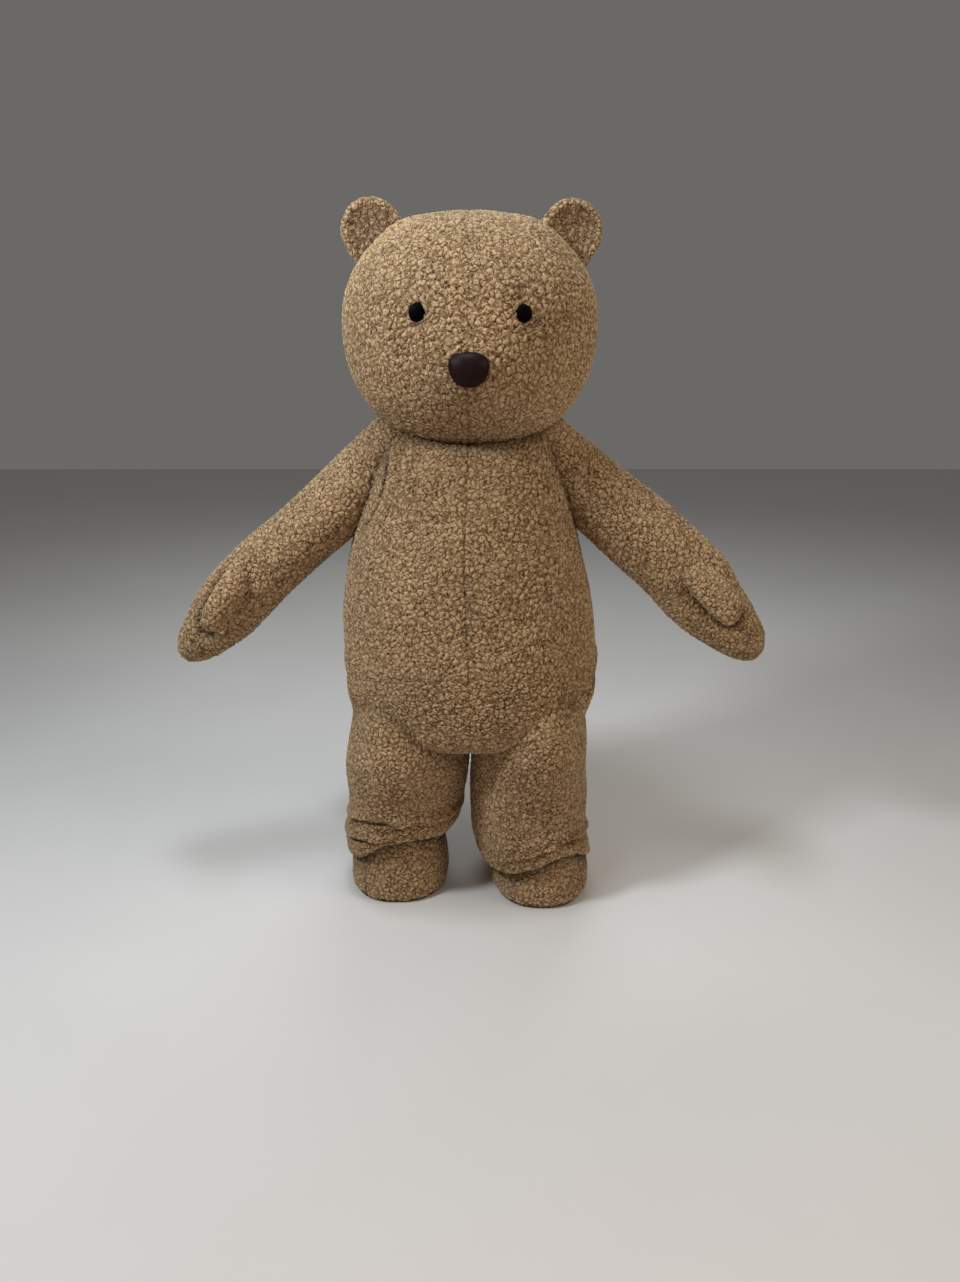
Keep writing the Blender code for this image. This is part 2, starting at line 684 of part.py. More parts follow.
def body_form(columns=BODY_COLUMNS, rows=BODY_ROWS):
    data = resample(BODY_TABLE, "height", rows)
    angles = ring_angles(columns)
    ahead = np.cos(angles)
    lowest = data["height"][-1]
    rings = []
    for height, shift, half_width, front, back in zip(*(data[name] for name in BODY_TABLE[0])):
        side, forth = oval(angles, half_width, front, back, BODY_PLAN_POWER)
        fade = np.clip((SAG_TOP - height) / (SAG_TOP - BODY_LIP_HEIGHT), 0.0, 1.0)
        slant = np.clip((height - lowest) / (BODY_LIP_HEIGHT - lowest), 0.0, 1.0)
        sag = np.where(ahead > 0.0, BELLY_SAG, SEAT_SAG) * ahead**2 * slant + BODY_BASE_SAG * (1.0 - slant)
        drop = sag * fade * fade * (3.0 - 2.0 * fade)
        rings.append(np.stack([shift + side, -forth, up(height) - drop], axis=1))
    rings = np.concatenate([neck_rings(columns), np.array(rings)])
    foot = np.flatnonzero(rings[:, columns // 2, 2] >= up(ZIP_FOOT_HEIGHT))[-1]
    below_zip = rings[foot] + BELOW_ZIP_SHARE * (rings[foot + 1] - rings[foot])
    rings = np.insert(rings, foot + 1, below_zip, axis=0)
    pole = (0.0, 0.0, up(BODY_POLE_HEIGHT) - BODY_BASE_SAG)
    return Form(rings, last_pole=pole)


def zip_rows(form):
    """Which rows of the body the zip closes, from the neck's mouth down."""
    return form.rings[:, form.rings.shape[1] // 2, 2] >= up(ZIP_FOOT_HEIGHT)


def zip_gap(form):
    """How far the back panels stand off the centre line at each row of the body."""
    gap = np.zeros((len(form.rings), 3))
    gap[:, 0] = np.where(zip_rows(form), ZIP_GAP_HALF, HALF_SEAM)
    return gap


def back_line(form):
    """The centre-back line along the zip, with its outward normals, from the neck down."""
    centre = form.rings.shape[1] // 2
    picked = np.flatnonzero(zip_rows(form))[NECK_RINGS:]
    return form.rings[picked, centre], form.normals[picked, centre]


def make_zip(parts, form, tape):
    """The closed zip: a flat tape behind the panels and the chain standing in their gap."""
    points, normals = back_line(form)
    deep = WALL + ZIP_TAPE_SET_BACK
    section = (
        (-ZIP_CHAIN_HALF, ZIP_CHAIN_SET_BACK), (ZIP_CHAIN_HALF, ZIP_CHAIN_SET_BACK),
        (ZIP_CHAIN_HALF, deep), (ZIP_TAPE_HALF, deep),
        (ZIP_TAPE_HALF, deep + ZIP_TAPE_THICKNESS), (-ZIP_TAPE_HALF, deep + ZIP_TAPE_THICKNESS),
        (-ZIP_TAPE_HALF, deep), (-ZIP_CHAIN_HALF, deep),
    )
    skin = Skin()
    rings = np.array([[point + (across, 0.0, 0.0) - normal * depth for across, depth in section]
                      for point, normal in zip(points, normals)])
    ids = skin.add(rings)
    skin.sheet(ids, True)
    skin.faces.append(ids[0].tolist())
    skin.faces.append(ids[-1][::-1].tolist())
    finish(new_object("back_zip", skin.vertices, skin.faces, parts), tape)


def slider_frame(form):
    """Where the slider sits on the centre back, with the way down the chain and out of it."""
    points, normals = back_line(form)
    down = points[1] - points[0]
    down /= np.linalg.norm(down)
    out = np.cross((1.0, 0.0, 0.0), down)
    if out[1] < 0.0:
        out = -out
    return points[0] + down * SLIDER_BELOW_TOP, down, out


def placed_box(name, centre, half_sizes, axes, collection, bevel=0.0):
    bpy.ops.mesh.primitive_cube_add(size=2.0)
    box = bpy.context.object
    box.name = name
    turn = Matrix(axes).transposed().to_4x4()
    box.data.transform(Matrix.Diagonal((*half_sizes, 1.0)))
    if bevel:
        work = bmesh.new()
        work.from_mesh(box.data)
        bmesh.ops.bevel(work, geom=work.edges, offset=bevel, segments=1, affect="EDGES")
        work.to_mesh(box.data)
        work.free()
    box.data.transform(Matrix.Translation(Vector(centre)) @ turn)
    return relink(box, collection)


def placed_pin(name, centre, radius, half_length, collection, sides=12):
    """A cylinder along X."""
    bpy.ops.mesh.primitive_cylinder_add(vertices=sides, radius=radius, depth=2.0 * half_length)
    pin = bpy.context.object
    pin.name = name
    pin.data.transform(Matrix.Translation(Vector(centre)) @ Matrix.Rotation(0.5 * math.pi, 4, "Y"))
    return relink(pin, collection)


def make_slider(parts, cutters, form, metal):
    """The slider with its bail, and the pull tab that hangs from the bail's pin."""
    seat, down, out = slider_frame(form)
    sideways = np.array([1.0, 0.0, 0.0])
    axes = (sideways, out, -down)
    middle = seat + out * (SLIDER_CLEAR + SLIDER_HALF[1])
    pin_at = middle + out * (SLIDER_HALF[1] + BAIL_STAND) - down * BAIL_SET_UP
    slider = placed_box("zip_slider", middle, SLIDER_HALF, axes, parts, bevel=0.0008)
    post_half = (0.5 * (BAIL_HALF_WIDTH - BAIL_GAP_HALF), 0.5 * BAIL_STAND + BAIL_RADIUS,
                 BAIL_POST_SPREAD * BAIL_RADIUS)
    for sign in (-1.0, 1.0):
        post_at = (pin_at + sideways * sign * 0.5 * (BAIL_HALF_WIDTH + BAIL_GAP_HALF)
                   - out * 0.5 * (BAIL_STAND - BAIL_POST_SINK))
        post = as_cutter(placed_box("bail_post", post_at, post_half, axes, cutters))
        combine(slider, post, "UNION")
    pin = as_cutter(placed_pin("bail_pin", pin_at, BAIL_RADIUS, BAIL_HALF_WIDTH - BAIL_PIN_SHORT, cutters))
    combine(slider, pin, "UNION")
    finish(slider, metal)

    lean = math.atan2(BAIL_STAND - PULL_THICKNESS, SLIDER_HALF[2] + BAIL_SET_UP)
    pull_down = down * math.cos(lean) - out * math.sin(lean)
    pull_out = out * math.cos(lean) + down * math.sin(lean)
    pull_axes = (sideways, pull_out, -pull_down)
    neck_half_width = BAIL_GAP_HALF - PULL_SIDE_PLAY
    pull = placed_box(
        "zip_pull", pin_at + pull_down * 0.5 * (PULL_SHOULDER + PULL_LENGTH),
        (PULL_HALF_WIDTH, 0.5 * PULL_THICKNESS, 0.5 * (PULL_LENGTH - PULL_SHOULDER)),
        pull_axes, parts, bevel=0.0004)
    neck = as_cutter(placed_box(
        "pull_neck", pin_at + pull_down * 0.5 * (PULL_PLATE_START + PULL_SHOULDER + PULL_LAP),
        (neck_half_width - PULL_NECK_SET_IN, 0.4 * PULL_THICKNESS,
         0.5 * (PULL_SHOULDER + PULL_LAP - PULL_PLATE_START)),
        pull_axes, cutters))
    eye = as_cutter(placed_pin("pull_eye", pin_at, PULL_EYE_RADIUS, neck_half_width, cutters))
    combine(pull, neck, "UNION")
    hole = as_cutter(placed_pin("pull_hole", pin_at, BAIL_RADIUS + PULL_PIN_PLAY, 0.01, cutters))
    combine(pull, eye, "UNION")
    combine(pull, hole, "DIFFERENCE")
    finish(pull, metal)
    pull.data.transform(Matrix.Translation(-Vector(pin_at)))
    pull.location = pin_at


def make_body(parts, form, holes, fleece):
    names = {"front_left": "body_front_left", "front_right": "body_front_right",
             "back_left": "body_back_left", "back_right": "body_back_right"}
    panels = quarter_panels(names, form, WALL, parts, zip_gap(form))
    for name, panel in panels.items():
        side = "left" if name.endswith("left") else "right"
        for hole in holes[side]:
            combine(panel, hole, "DIFFERENCE")
        finish(panel, fleece)


# ---------------------------------------------------------------- sleeves, mittens, thumbs
def arm_frame(side):
    sign = SIDES[side]
    along = np.array([sign * math.cos(ARM_SLOPE), 0.0, -math.sin(ARM_SLOPE)])
    rise = np.array([sign * math.sin(ARM_SLOPE), 0.0, math.cos(ARM_SLOPE)])
    origin = np.array([sign * ARM_ORIGIN[0], 0.0, up(ARM_ORIGIN[1])])
    return origin, along, rise


def arm_form(side, columns=ARM_COLUMNS, rows=ARM_ROWS, longer=0.0):
    """A sleeve with its mitten: rings from inside the shoulder to the tip of the hand.

    `longer` carries the first ring further in, for the hole that the sleeve needs.
    """
    origin, along, rise = arm_frame(side)
    table = ARM_TABLES[side]
    data = resample(table, "along", rows)
    angles = ring_angles(columns)
    rings = []
    for index in range(rows):
        half_height, half_depth = data["half_height"][index], data["half_depth"][index]
        lift, ahead = oval(angles, half_height, half_depth, half_depth, ARM_PLAN_POWER)
        middle = origin + along * data["along"][index] + rise * data["rise"][index]
        middle = middle + np.array([0.0, -data["forward"][index], 0.0])
        rings.append(middle + lift[:, None] * rise + ahead[:, None] * np.array([0.0, -1.0, 0.0]))
    rings[0] = rings[0] - along * longer
    last = table[1][-1]
    tip = origin + along * ARM_TIP + rise * last[1] + np.array([0.0, -last[4], 0.0])
    return Form(rings, last_pole=tip)


def thumb_form(side, columns=THUMB_COLUMNS, rows=THUMB_ROWS):
    sign = SIDES[side]
    data = resample(THUMB_TABLES[side], "x", rows)
    centres = np.stack([sign * data["x"], data["y"], up(data["height"])], axis=1)
    heading = np.gradient(centres, axis=0)
    heading /= np.linalg.norm(heading, axis=1, keepdims=True)
    ahead = np.array([0.0, -1.0, 0.0])
    angles = ring_angles(columns)
    rings = []
    for centre, forward, half_width, half_depth in zip(
            centres, heading, data["half_width"], data["half_depth"]):
        sideways = np.cross(forward, ahead)
        sideways /= np.linalg.norm(sideways)
        outward = np.cross(sideways, forward)
        side_step, out_step = oval(angles, half_width, half_depth, half_depth, 2.0)
        rings.append(centre + side_step[:, None] * sideways + out_step[:, None] * outward)
    tip = centres[-1] + heading[-1] * THUMB_TIP_REACH
    return Form(rings, last_pole=tip)


def make_arms(parts, cutters, forms, thumbs, trims, fleece):
    quarter = ARM_COLUMNS // 4
    seam = np.array([0.0, -HALF_SEAM, 0.0])
    for side in SIDES:
        form, thumb = forms[side], thumbs[side]
        mitten_inside = as_cutter(solid_form(f"mitten_{side}_inside", form, -WALL, cutters))
        thumb_hole = as_cutter(solid_form(f"thumb_{side}_hole", thumb, SEAM, cutters))
        front = wall_panel(f"arm_{side}_front", form, WALL, parts,
                           (-quarter, quarter), (seam, seam))
        back = wall_panel(f"arm_{side}_back", form, WALL, parts,
                          (quarter, 3 * quarter), (-seam, -seam))
        for panel in (front, back):
            for trim in trims:
                combine(panel, trim, "DIFFERENCE")
        combine(front, thumb_hole, "DIFFERENCE")
        lobe = wall_panel(f"thumb_{side}", thumb, THUMB_WALL, parts)
        combine(lobe, mitten_inside, "DIFFERENCE")
        for panel in (front, back, lobe):
            finish(panel, fleece)


# ---------------------------------------------------------------- legs and feet
def foot_ring(side, height, columns, grow=0.0):
    """One level ring of a foot's outside, at one height or at a height for each angle."""
    data = columns_of(FOOT_TABLES[side])
    angles = ring_angles(columns)
    height = np.broadcast_to(height, angles.shape)
    sizes = [smooth(height, data["height"], data[name]) + grow
             for name in ("half_width", "front", "back")]
    side_step, ahead = oval(angles, *sizes, FOOT_PLAN_POWER)
    x = SIDES[side] * FOOT_CENTRE[side] + side_step
    return np.stack([x, -ahead, up(height)], axis=1)


def foot_form(side, columns=LEG_COLUMNS):
    heights = columns_of(FOOT_TABLES[side])["height"][::-1]
    return Form([foot_ring(side, height, columns) for height in heights])


def hem_lift(side, height, columns):
    """How far a leg's ring is lifted or lowered around, as its cloth slants to the hem."""
    edge = HEM_HEIGHTS[side]
    angles = ring_angles(columns)
    ahead, outward = np.cos(angles), SIDES[side] * np.sin(angles)
    hem = (np.where(ahead > 0.0, edge["front"], edge["back"]) * ahead**2
           + np.where(outward > 0.0, edge["outer"], edge["inner"]) * outward**2)
    lowest = LEG_TABLES[side][1][-1][0]
    fade = np.clip((HEM_TILT_TOP - height) / (HEM_TILT_TOP - lowest), 0.0, 1.0)
    return (hem - lowest) * fade


def leg_form(side, columns=LEG_COLUMNS, rows=LEG_ROWS):
    """A leg from inside the body down to its hem, which turns in on the foot."""
    sign = SIDES[side]
    data = resample(LEG_TABLES[side], "height", rows)
    angles = ring_angles(columns)
    rings = []
    for height, inner, outer, front, back in zip(*(data[name] for name in LEG_TABLE_COLUMNS)):
        side_step, ahead = oval(angles, 0.5 * (outer - inner), front, back, LEG_PLAN_POWER)
        x = sign * 0.5 * (inner + outer) + side_step
        rings.append(np.stack([x, -ahead, up(height) + hem_lift(side, height, columns)], axis=1))
    lowest = data["height"][-1]
    turned = lowest + hem_lift(side, lowest, columns) - HEM_TURN_DROP
    rings.append(foot_ring(side, turned, columns, grow=HEM_STAND[side]))
    return Form(rings)


def make_legs(parts, forms, trim, fleece):
    quarter = LEG_COLUMNS // 4
    seam = np.array([0.0, -HALF_SEAM, 0.0])
    for side in SIDES:
        form = forms[side]
        front = wall_panel(f"leg_{side}_front", form, WALL, parts, (-quarter, quarter), (seam, seam))
        back = wall_panel(f"leg_{side}_back", form, WALL, parts, (quarter, 3 * quarter), (-seam, -seam))
        for panel in (front, back):
            combine(panel, trim, "DIFFERENCE")
            finish(panel, fleece)


def make_feet(parts, fleece, grip):
    """Each foot is one band of cloth, closed by an upright seam, round a grip sole."""
    for side in SIDES:
        form = foot_form(side)
        start = FOOT_SEAM_COLUMN[side]
        beside = form.rings[:, (start + 1) % LEG_COLUMNS] - form.rings[:, start - 1]
        apart = HALF_SEAM * beside / np.linalg.norm(beside, axis=1, keepdims=True)
        band = wall_panel(f"foot_{side}", form, WALL, parts,
                          (start, start + LEG_COLUMNS), (apart, -apart))
        finish(band, fleece)
        outline = foot_ring(side, FOOT_TABLES[side][1][0][0], LEG_COLUMNS)
        outline[:, 2] = up(SOLE_THICKNESS)
        under = outline - np.array([0.0, 0.0, SOLE_THICKNESS])
        skin = Skin()
        top_ids, under_ids = skin.add(outline), skin.add(under)
        skin.strip(top_ids, under_ids, True)
        skin.faces.append(top_ids.tolist())
        skin.faces.append(under_ids[::-1].tolist())
        finish(new_object(f"sole_{side}", skin.vertices, skin.faces, parts), grip)


# ---------------------------------------------------------------- build
def main():
    for obj in list(bpy.data.objects):
        bpy.data.objects.remove(obj, do_unlink=True)
    parts = make_collection("bear_mascot_costume")
    cutters = make_collection("cutters")
    cloth = {name: make_material(name) for name in MATERIALS}

    head = make_head(parts, cloth["fleece"])
    head_seat = as_cutter(solid_form("head_seat", head, SEAT_GAP, cutters))
    head_clear = as_cutter(solid_form("head_clear", head, REST_GAP, cutters))
    make_ears(parts, cutters, head_seat, cloth["fleece"], cloth["fleece_dark"])
    make_face(parts, head_seat, cloth["eye_black"], cloth["nose_brown"])

    body = body_form()
    arms = {side: arm_form(side) for side in SIDES}
    thumbs = {side: thumb_form(side) for side in SIDES}
    legs = {side: leg_form(side) for side in SIDES}
    arm_holes = {side: arm_form(side, longer=ARM_HOLE_LONGER) for side in SIDES}
    holes = {side: [as_cutter(solid_form(f"arm_{side}_hole", arm_holes[side], SEAM, cutters)),
                    as_cutter(solid_form(f"leg_{side}_hole", legs[side], SEAM, cutters))]
             for side in SIDES}
    body_inside = as_cutter(solid_form("body_inside", body, -WALL, cutters))
    make_body(parts, body, holes, cloth["fleece"])
    make_arms(parts, cutters, arms, thumbs, (body_inside, head_clear), cloth["fleece"])
    make_legs(parts, legs, body_inside, cloth["fleece"])
    make_feet(parts, cloth["fleece"], cloth["sole_grip"])
    make_zip(parts, body, cloth["zip_tape"])
    make_slider(parts, cutters, body, cloth["zip_metal"])


main()
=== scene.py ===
"""Looks of the bear mascot costume: its curly fleece, face, zip and soles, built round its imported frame.

Each form follows its solids, and the names with SHOWN in them and the body's
lower edge set what the photo shows otherwise.  A form is first a dense grid of
points with its folds pressed in.  Its panels are then cut from that grid at an
even spacing, so that the seams meet point for point, and the nubs of the curly
pile are raised on them.
"""
import math

import bpy
import numpy as np
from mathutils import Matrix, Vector
from mathutils.bvhtree import BVHTree


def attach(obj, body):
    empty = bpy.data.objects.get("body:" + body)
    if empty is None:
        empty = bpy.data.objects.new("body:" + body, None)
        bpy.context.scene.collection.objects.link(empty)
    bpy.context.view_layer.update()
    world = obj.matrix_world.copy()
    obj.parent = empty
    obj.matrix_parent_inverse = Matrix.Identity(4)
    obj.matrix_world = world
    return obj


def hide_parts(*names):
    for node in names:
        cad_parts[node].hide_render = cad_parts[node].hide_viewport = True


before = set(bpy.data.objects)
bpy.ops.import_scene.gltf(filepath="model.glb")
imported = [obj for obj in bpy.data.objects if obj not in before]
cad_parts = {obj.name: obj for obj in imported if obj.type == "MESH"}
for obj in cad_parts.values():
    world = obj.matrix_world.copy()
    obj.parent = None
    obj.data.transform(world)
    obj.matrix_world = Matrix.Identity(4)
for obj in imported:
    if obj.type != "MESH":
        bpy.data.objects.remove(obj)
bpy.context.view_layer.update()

SIDES = {"right": -1.0, "left": 1.0}   # the wearer's right is at -X
SQUARE = np.array([(-1.0, -1.0), (1.0, -1.0), (1.0, 1.0), (-1.0, 1.0)])
SIDEWAYS, AHEAD = np.array([1.0, 0.0, 0.0]), np.array([0.0, -1.0, 0.0])


def by_side(right, left):
    return {"right": right, "left": left}


def table(names, rows):
    """The named columns of a table whose rows are in millimetres, in metres."""
    return dict(zip(names.split(), np.array(rows, dtype=float).T / 1000.0))


# ---------------- sizes, as in the solids
SHOULDER_HEIGHT = 1.270
WALL = 0.006

HEAD_CENTRE_HEIGHT = 1.515
HEAD_HALF_WIDTH = 0.305
HEAD_FRONT = 0.283
HEAD_SHIFT = 0.003
HEAD_BACK = 0.275
HEAD_TOP = (0.252, 2.18)   # reach from its middle height, and the outline's power
HEAD_BASE = (-0.295, 2.15)
HEAD_PLAN_POWER = 2.15
HEAD_MOUTH_REACH = 0.45
MUZZLE_HEIGHT = 1.405
MUZZLE_HALF_WIDTH = 0.120
MUZZLE_HALF_HEIGHT = 0.085
MUZZLE_STAND = 0.030

EYE_SHOWN = ((-0.1055, 1.5385), (0.1180, 1.5360))   # middles of the eyes among the nap, x and height
EYE_SHOWN_HALF = (0.0205, 0.0110, 0.0208)   # the nap covers the edges of the eyes
EYE_SHOWN_SINK = 0.0060
NOSE_HEIGHT = 1.422
NOSE_HALF = (0.0435, 0.024, 0.0370)
NOSE_SINK = 0.004
NOSE_SHOWN_TAPER = 0.18

EAR_CENTRES = {"right": (-0.228, 0.004, 1.727), "left": (0.242, 0.004, 1.724)}
EAR_RADIUS = 0.073
EAR_LEAN = math.radians(36)
EAR_TURN = math.radians(12)
EAR_BACK = 0.032

NECK_RING_REACH = (0.50, 0.66, 0.60)
NECK_MOUTH_REACH = 0.455
REST_GAP = 0.0008

BODY = table("height shift half_width front back", (
    (1240, 0, 226, 176, 184), (1200, -2, 239, 196, 202), (1120, -5, 260, 222, 224),
    (1040, -9, 280, 243, 240), (960, -10, 300, 259, 252), (880, -7, 318, 272, 260),
    (800, -4, 330, 281, 266), (720, 0, 334, 286, 270), (640, 3, 336, 286, 270),
    (600, 3, 335, 283, 266), (568, 2, 328, 276, 257), (545, 0, 319, 266, 243), (520, 0, 290, 238, 210),
    (490, 0, 160, 130, 120),
))
BODY_POLE_HEIGHT = 0.470
BODY_PLAN_POWER = 2.2
BELLY_SAG = 0.021
SEAT_SAG = 0.025
BODY_BASE_SAG = 0.030
BODY_LIP_HEIGHT = 0.568
SAG_TOP = 0.72

ARM_ORIGIN = (0.127, 1.272)
ARM_SLOPE = math.radians(41.1)
ARM_PLAN_POWER = 2.1
ARM_TIP = 0.871
ARMS = {side: table("along rise half_height half_depth forward", rows) for side, rows in {
    "right": (
        (0, 0, 89, 96, 0), (100, -1, 90, 96, 0), (250, -2, 88, 92, 4), (400, -1, 85, 88, 10),
        (530, 2, 88.5, 86, 16), (620, -3, 90.6, 82, 20), (690, -10, 87, 74, 24),
        (750, -15, 76.3, 66, 26), (798, -20, 62, 55, 28), (838, -22, 45.4, 42, 29),
        (864, -23, 25, 24, 30),
    ),
    "left": (
        (0, 0, 89, 98, 0), (100, 1, 90, 98, 0), (250, 6, 94, 96, 4), (400, 10, 101, 94, 10),
        (530, 10, 102.5, 92, 16), (620, 3, 104, 86, 20), (690, -6, 92, 78, 24), (750, -9, 79, 69, 26),
        (798, -12, 65.7, 58, 28), (838, -14, 49, 45, 29), (864, -18, 26, 25, 30),
    ),
}.items()}
THUMBS = {side: table("x y height half_width half_depth", rows) for side, rows in {
    "right": (
        (555, -55, 945, 30, 30), (580, -88, 905, 34, 33), (607, -118, 862, 34, 31),
        (632, -130, 822, 32, 28), (648, -132, 793, 22, 20),
    ),
    "left": (
        (560, -55, 965, 34, 30), (592, -92, 930, 40, 34), (628, -126, 892, 41, 32),
        (658, -140, 857, 36, 28), (674, -142, 836, 24, 19),
    ),
}.items()}
THUMB_TIP_REACH = 0.010
THUMB_FREE = by_side(1.0, -1.0)   # the edge that stands free: above or below along the arm
THUMB_SHOWN_SHIFT = by_side(0.009, 0.016)   # towards its free edge
THUMB_SHOWN_STAND = by_side(0.016, 0.010)   # how far its tip stands off the mitten
THUMB_SHOWN_TILT = by_side(0.005, 0.012)   # how far its free edge stands off
THUMB_EDGE = by_side(0.035, 0.037)   # from its middle line to its edge
THUMB_EDGE_DRIFT = (0.008, -0.012)   # that line's tip, out and up from the thumb's as seen in front
THUMB_SHADOW = by_side(0.013, 0.008)   # width of the painted shadow beside that edge
THUMB_PRESS, THUMB_PRESS_WIDTH = 0.014, 0.012   # the mitten's dip beside that edge
THUMB_ROOT_DEPTH = 0.02   # behind this depth the mitten's cloth is whole
THUMB_COVER = 0.012   # the mitten's cloth is left out under the thumb, to this far past its edge

LEGS = {side: table("height inner outer front back", rows) for side, rows in {
    "right": (
        (610, 40, 300, 238, 190), (570, 26, 312, 250, 208), (520, 18, 319, 254, 220),
        (460, 14, 331, 255, 222), (370, 12, 345, 234, 214), (290, 17, 341, 213, 204),
        (225, 23, 343, 200, 196), (198, 22, 352, 206, 200), (180, 27, 350, 203, 197),
        (156, 30, 356, 206, 198), (132, 40, 352, 199, 192), (121, 52, 345, 190, 184),
    ),
    "left": (
        (610, 40, 300, 240, 190), (570, 26, 308, 252, 208), (520, 18, 313, 257, 220),
        (460, 13, 319, 260, 222), (370, 11, 320, 244, 216), (280, 6, 327, 227, 208),
        (190, 5, 325, 222, 200), (158, 8, 331, 227, 204), (140, 12, 330, 224, 202),
        (118, 16, 338, 227, 204), (96, 26, 339, 222, 200), (85, 38, 334, 213, 192),
    ),
}.items()}
LEG_PLAN_POWER = 2.3
HEM_SHOWN = by_side(   # degrees from the front towards the outer side, height of the hem in millimetres
    ((-180, 80), (-90, 185), (-44, 208), (-30, 216), (-15, 221), (0, 213), (15, 198), (28, 171),
     (42, 146), (90, 115), (180, 80)),
    ((-180, 60), (-90, 85), (-45, 113), (-28, 122), (-16, 135.5), (-3, 152), (8, 168), (20, 180),
     (40, 170), (60, 135), (90, 90), (180, 60)),
)
HEM_TILT_TOP = 0.42
HEM_TURN_RISE = 0.010
HEM_STAND = by_side(0.0043, 0.0066)

FEET = {side: table("height half_width front back", rows) for side, rows in {
    "right": (
        (6.3, 131, 162, 150), (22, 138, 169, 155), (60, 137, 169, 155), (105, 130, 166, 152),
        (150, 122, 158, 147), (270, 115, 146, 140),
    ),
    "left": (
        (6.3, 133, 190, 140), (22, 140, 197, 146), (50, 139, 197, 146), (80, 131, 193, 144),
        (130, 120, 184, 140), (270, 112, 164, 134),
    ),
}.items()}
FOOT_CENTRE = by_side(0.205, 0.198)
FOOT_SEAM_SHARE = by_side(18 / 20, 3 / 20)
FOOT_PLAN_POWER = 2.4
SOLE_THICKNESS = 0.006

ZIP_FOOT_HEIGHT = 0.620
ZIP_GAP_HALF = 0.0034
ZIP_TAPE_HALF = 0.014
ZIP_TAPE_THREADS = 15
ZIP_TAPE_SET_BACK = 0.0012
ZIP_PITCH = 0.0026   # from one tooth to the next, which is on the other side
NECK_RINGS = 3   # key rings of the body that lie under the head
BODY_KEYS = 17   # runs between the body's key rings
HEM_TURN_ROWS = 22   # rows of a leg's grid from its lip to the turned-in edge

# ---------------- the pile
POINT_SPACING = 0.00375   # between the points of a panel
GRID_SPACING = 0.004   # of the grids that the folds are pressed into
HEAD_GIRTH, HEAD_ROWS = 1.9, 240   # of each grid: the girth that its columns share, its rows
BODY_GIRTH, BODY_ROWS = 2.0, 320
ARM_GIRTH, ARM_ROWS = 0.6, 300
THUMB_GIRTH, THUMB_ROWS = 0.24, 90
LEG_GIRTH, LEG_ROWS = 1.3, 260
FOOT_GIRTH, FOOT_ROWS = 1.0, 90
EAR_GIRTH, EAR_ROWS = 0.5, 90
NUB_SIZE = 0.0145   # from one nub of the pile to the next
NUB_SWAY = (0.009, 0.012)   # lumps that bend the nubs out of line, and how far
NUB_EDGE = 0.22   # from the valley to the crown, in nub sizes
CREASE_SIZE = 0.0088   # the winding creases between the curls
CREASE_HALF = 0.060
FIBRE_SIZE = 0.0058
PILE_SHARES = (0.42, 0.43, 0.18)   # of the height: nubs, curls and loose fibres
NOISE_SPAN = (0.3, 0.7)   # noise seldom leaves this
FOLD_SHADE = 0.24   # painted shade: how much of its colour the fleece keeps where that shade is deepest, as in a deep fold
PATCH_SIZE, PATCH_TONE = 0.16, (0.86, 1.10)   # large fainter and deeper patches in the colour
NUB_HEIGHT = 0.0056   # valley to tip
NUB_SET_BACK = 0.0030   # valleys this far inside the solid's surface
EAR_NUB_HEIGHT = 0.0036
NAP_RANGE = (-0.1, 1.15)   # the relief is cut off below and above, as shares of that height
FLATTENING = 0.7   # how much of it a pressed place loses
HIDE_DEPTH = 0.012   # cloth this deep inside another form is left out
COVER_REACH = 0.060   # further out than this is taken as this far
COVER_SPACING = 0.012   # between the places where that depth is measured


# ---------------- tables and curves
def up(height):
    """A height from the floor as a Z in the costume's frame."""
    return height - SHOULDER_HEIGHT


def smooth(at, stations, values):
    """Read curves without overshoot (monotone cubic) through values at the stations."""
    values = np.asarray(values, dtype=float)
    flat = values.reshape(len(stations), -1)
    steps = np.diff(stations)[:, None]
    slopes = np.diff(flat, axis=0) / steps
    tangents = np.zeros_like(flat)
    same_way = slopes[:-1] * slopes[1:] > 0
    with np.errstate(divide="ignore", invalid="ignore"):
        mean = 2.0 * slopes[:-1] * slopes[1:] / (slopes[:-1] + slopes[1:])
    tangents[1:-1] = np.where(same_way, mean, 0.0)
    tangents[0], tangents[-1] = slopes[0], slopes[-1]
    at = np.asarray(at, dtype=float)
    place = np.clip(np.searchsorted(stations, at, side="right") - 1, 0, len(steps) - 1)
    t = ((at - stations[place]) / steps[place, 0])[:, None]
    low, high = flat[place], flat[place + 1]
    start, end = tangents[place] * steps[place], tangents[place + 1] * steps[place]
    read = ((2 * t**3 - 3 * t**2 + 1) * low + (t**3 - 2 * t**2 + t) * start
            + (3 * t**2 - 2 * t**3) * high + (t**3 - t**2) * end)
    return read.reshape((len(at),) + values.shape[1:])


def oval(angles, half_side, front, back, power):
    """Superellipse: sideways and frontways distances at angles from the front."""
    sine, cosine = np.sin(angles), np.cos(angles)
    side = half_side * np.sign(sine) * np.abs(sine) ** (2.0 / power)
    reach = np.where(cosine > 0.0, front, back)
    ahead = reach * np.sign(cosine) * np.abs(cosine) ** (2.0 / power)
    return side, ahead


def unit(vectors):
    return vectors / np.maximum(np.linalg.norm(vectors, axis=-1, keepdims=True), 1e-12)


def steps(points, axis=0):
    """The distance from each point to the next."""
    return np.linalg.norm(np.diff(points, axis=axis), axis=-1)


def running(lengths):
    """How far along a run of steps each of its points lies."""
    return np.concatenate([[0.0], np.cumsum(lengths)])


def bell(distance, width):
    return np.exp(-(distance / width) ** 2)


def ramp(value, start, end):
    """0 before start and 1 after end, with an eased rise between them."""
    t = np.clip((value - start) / (end - start), 0.0, 1.0)
    return t * t * (3.0 - 2.0 * t)


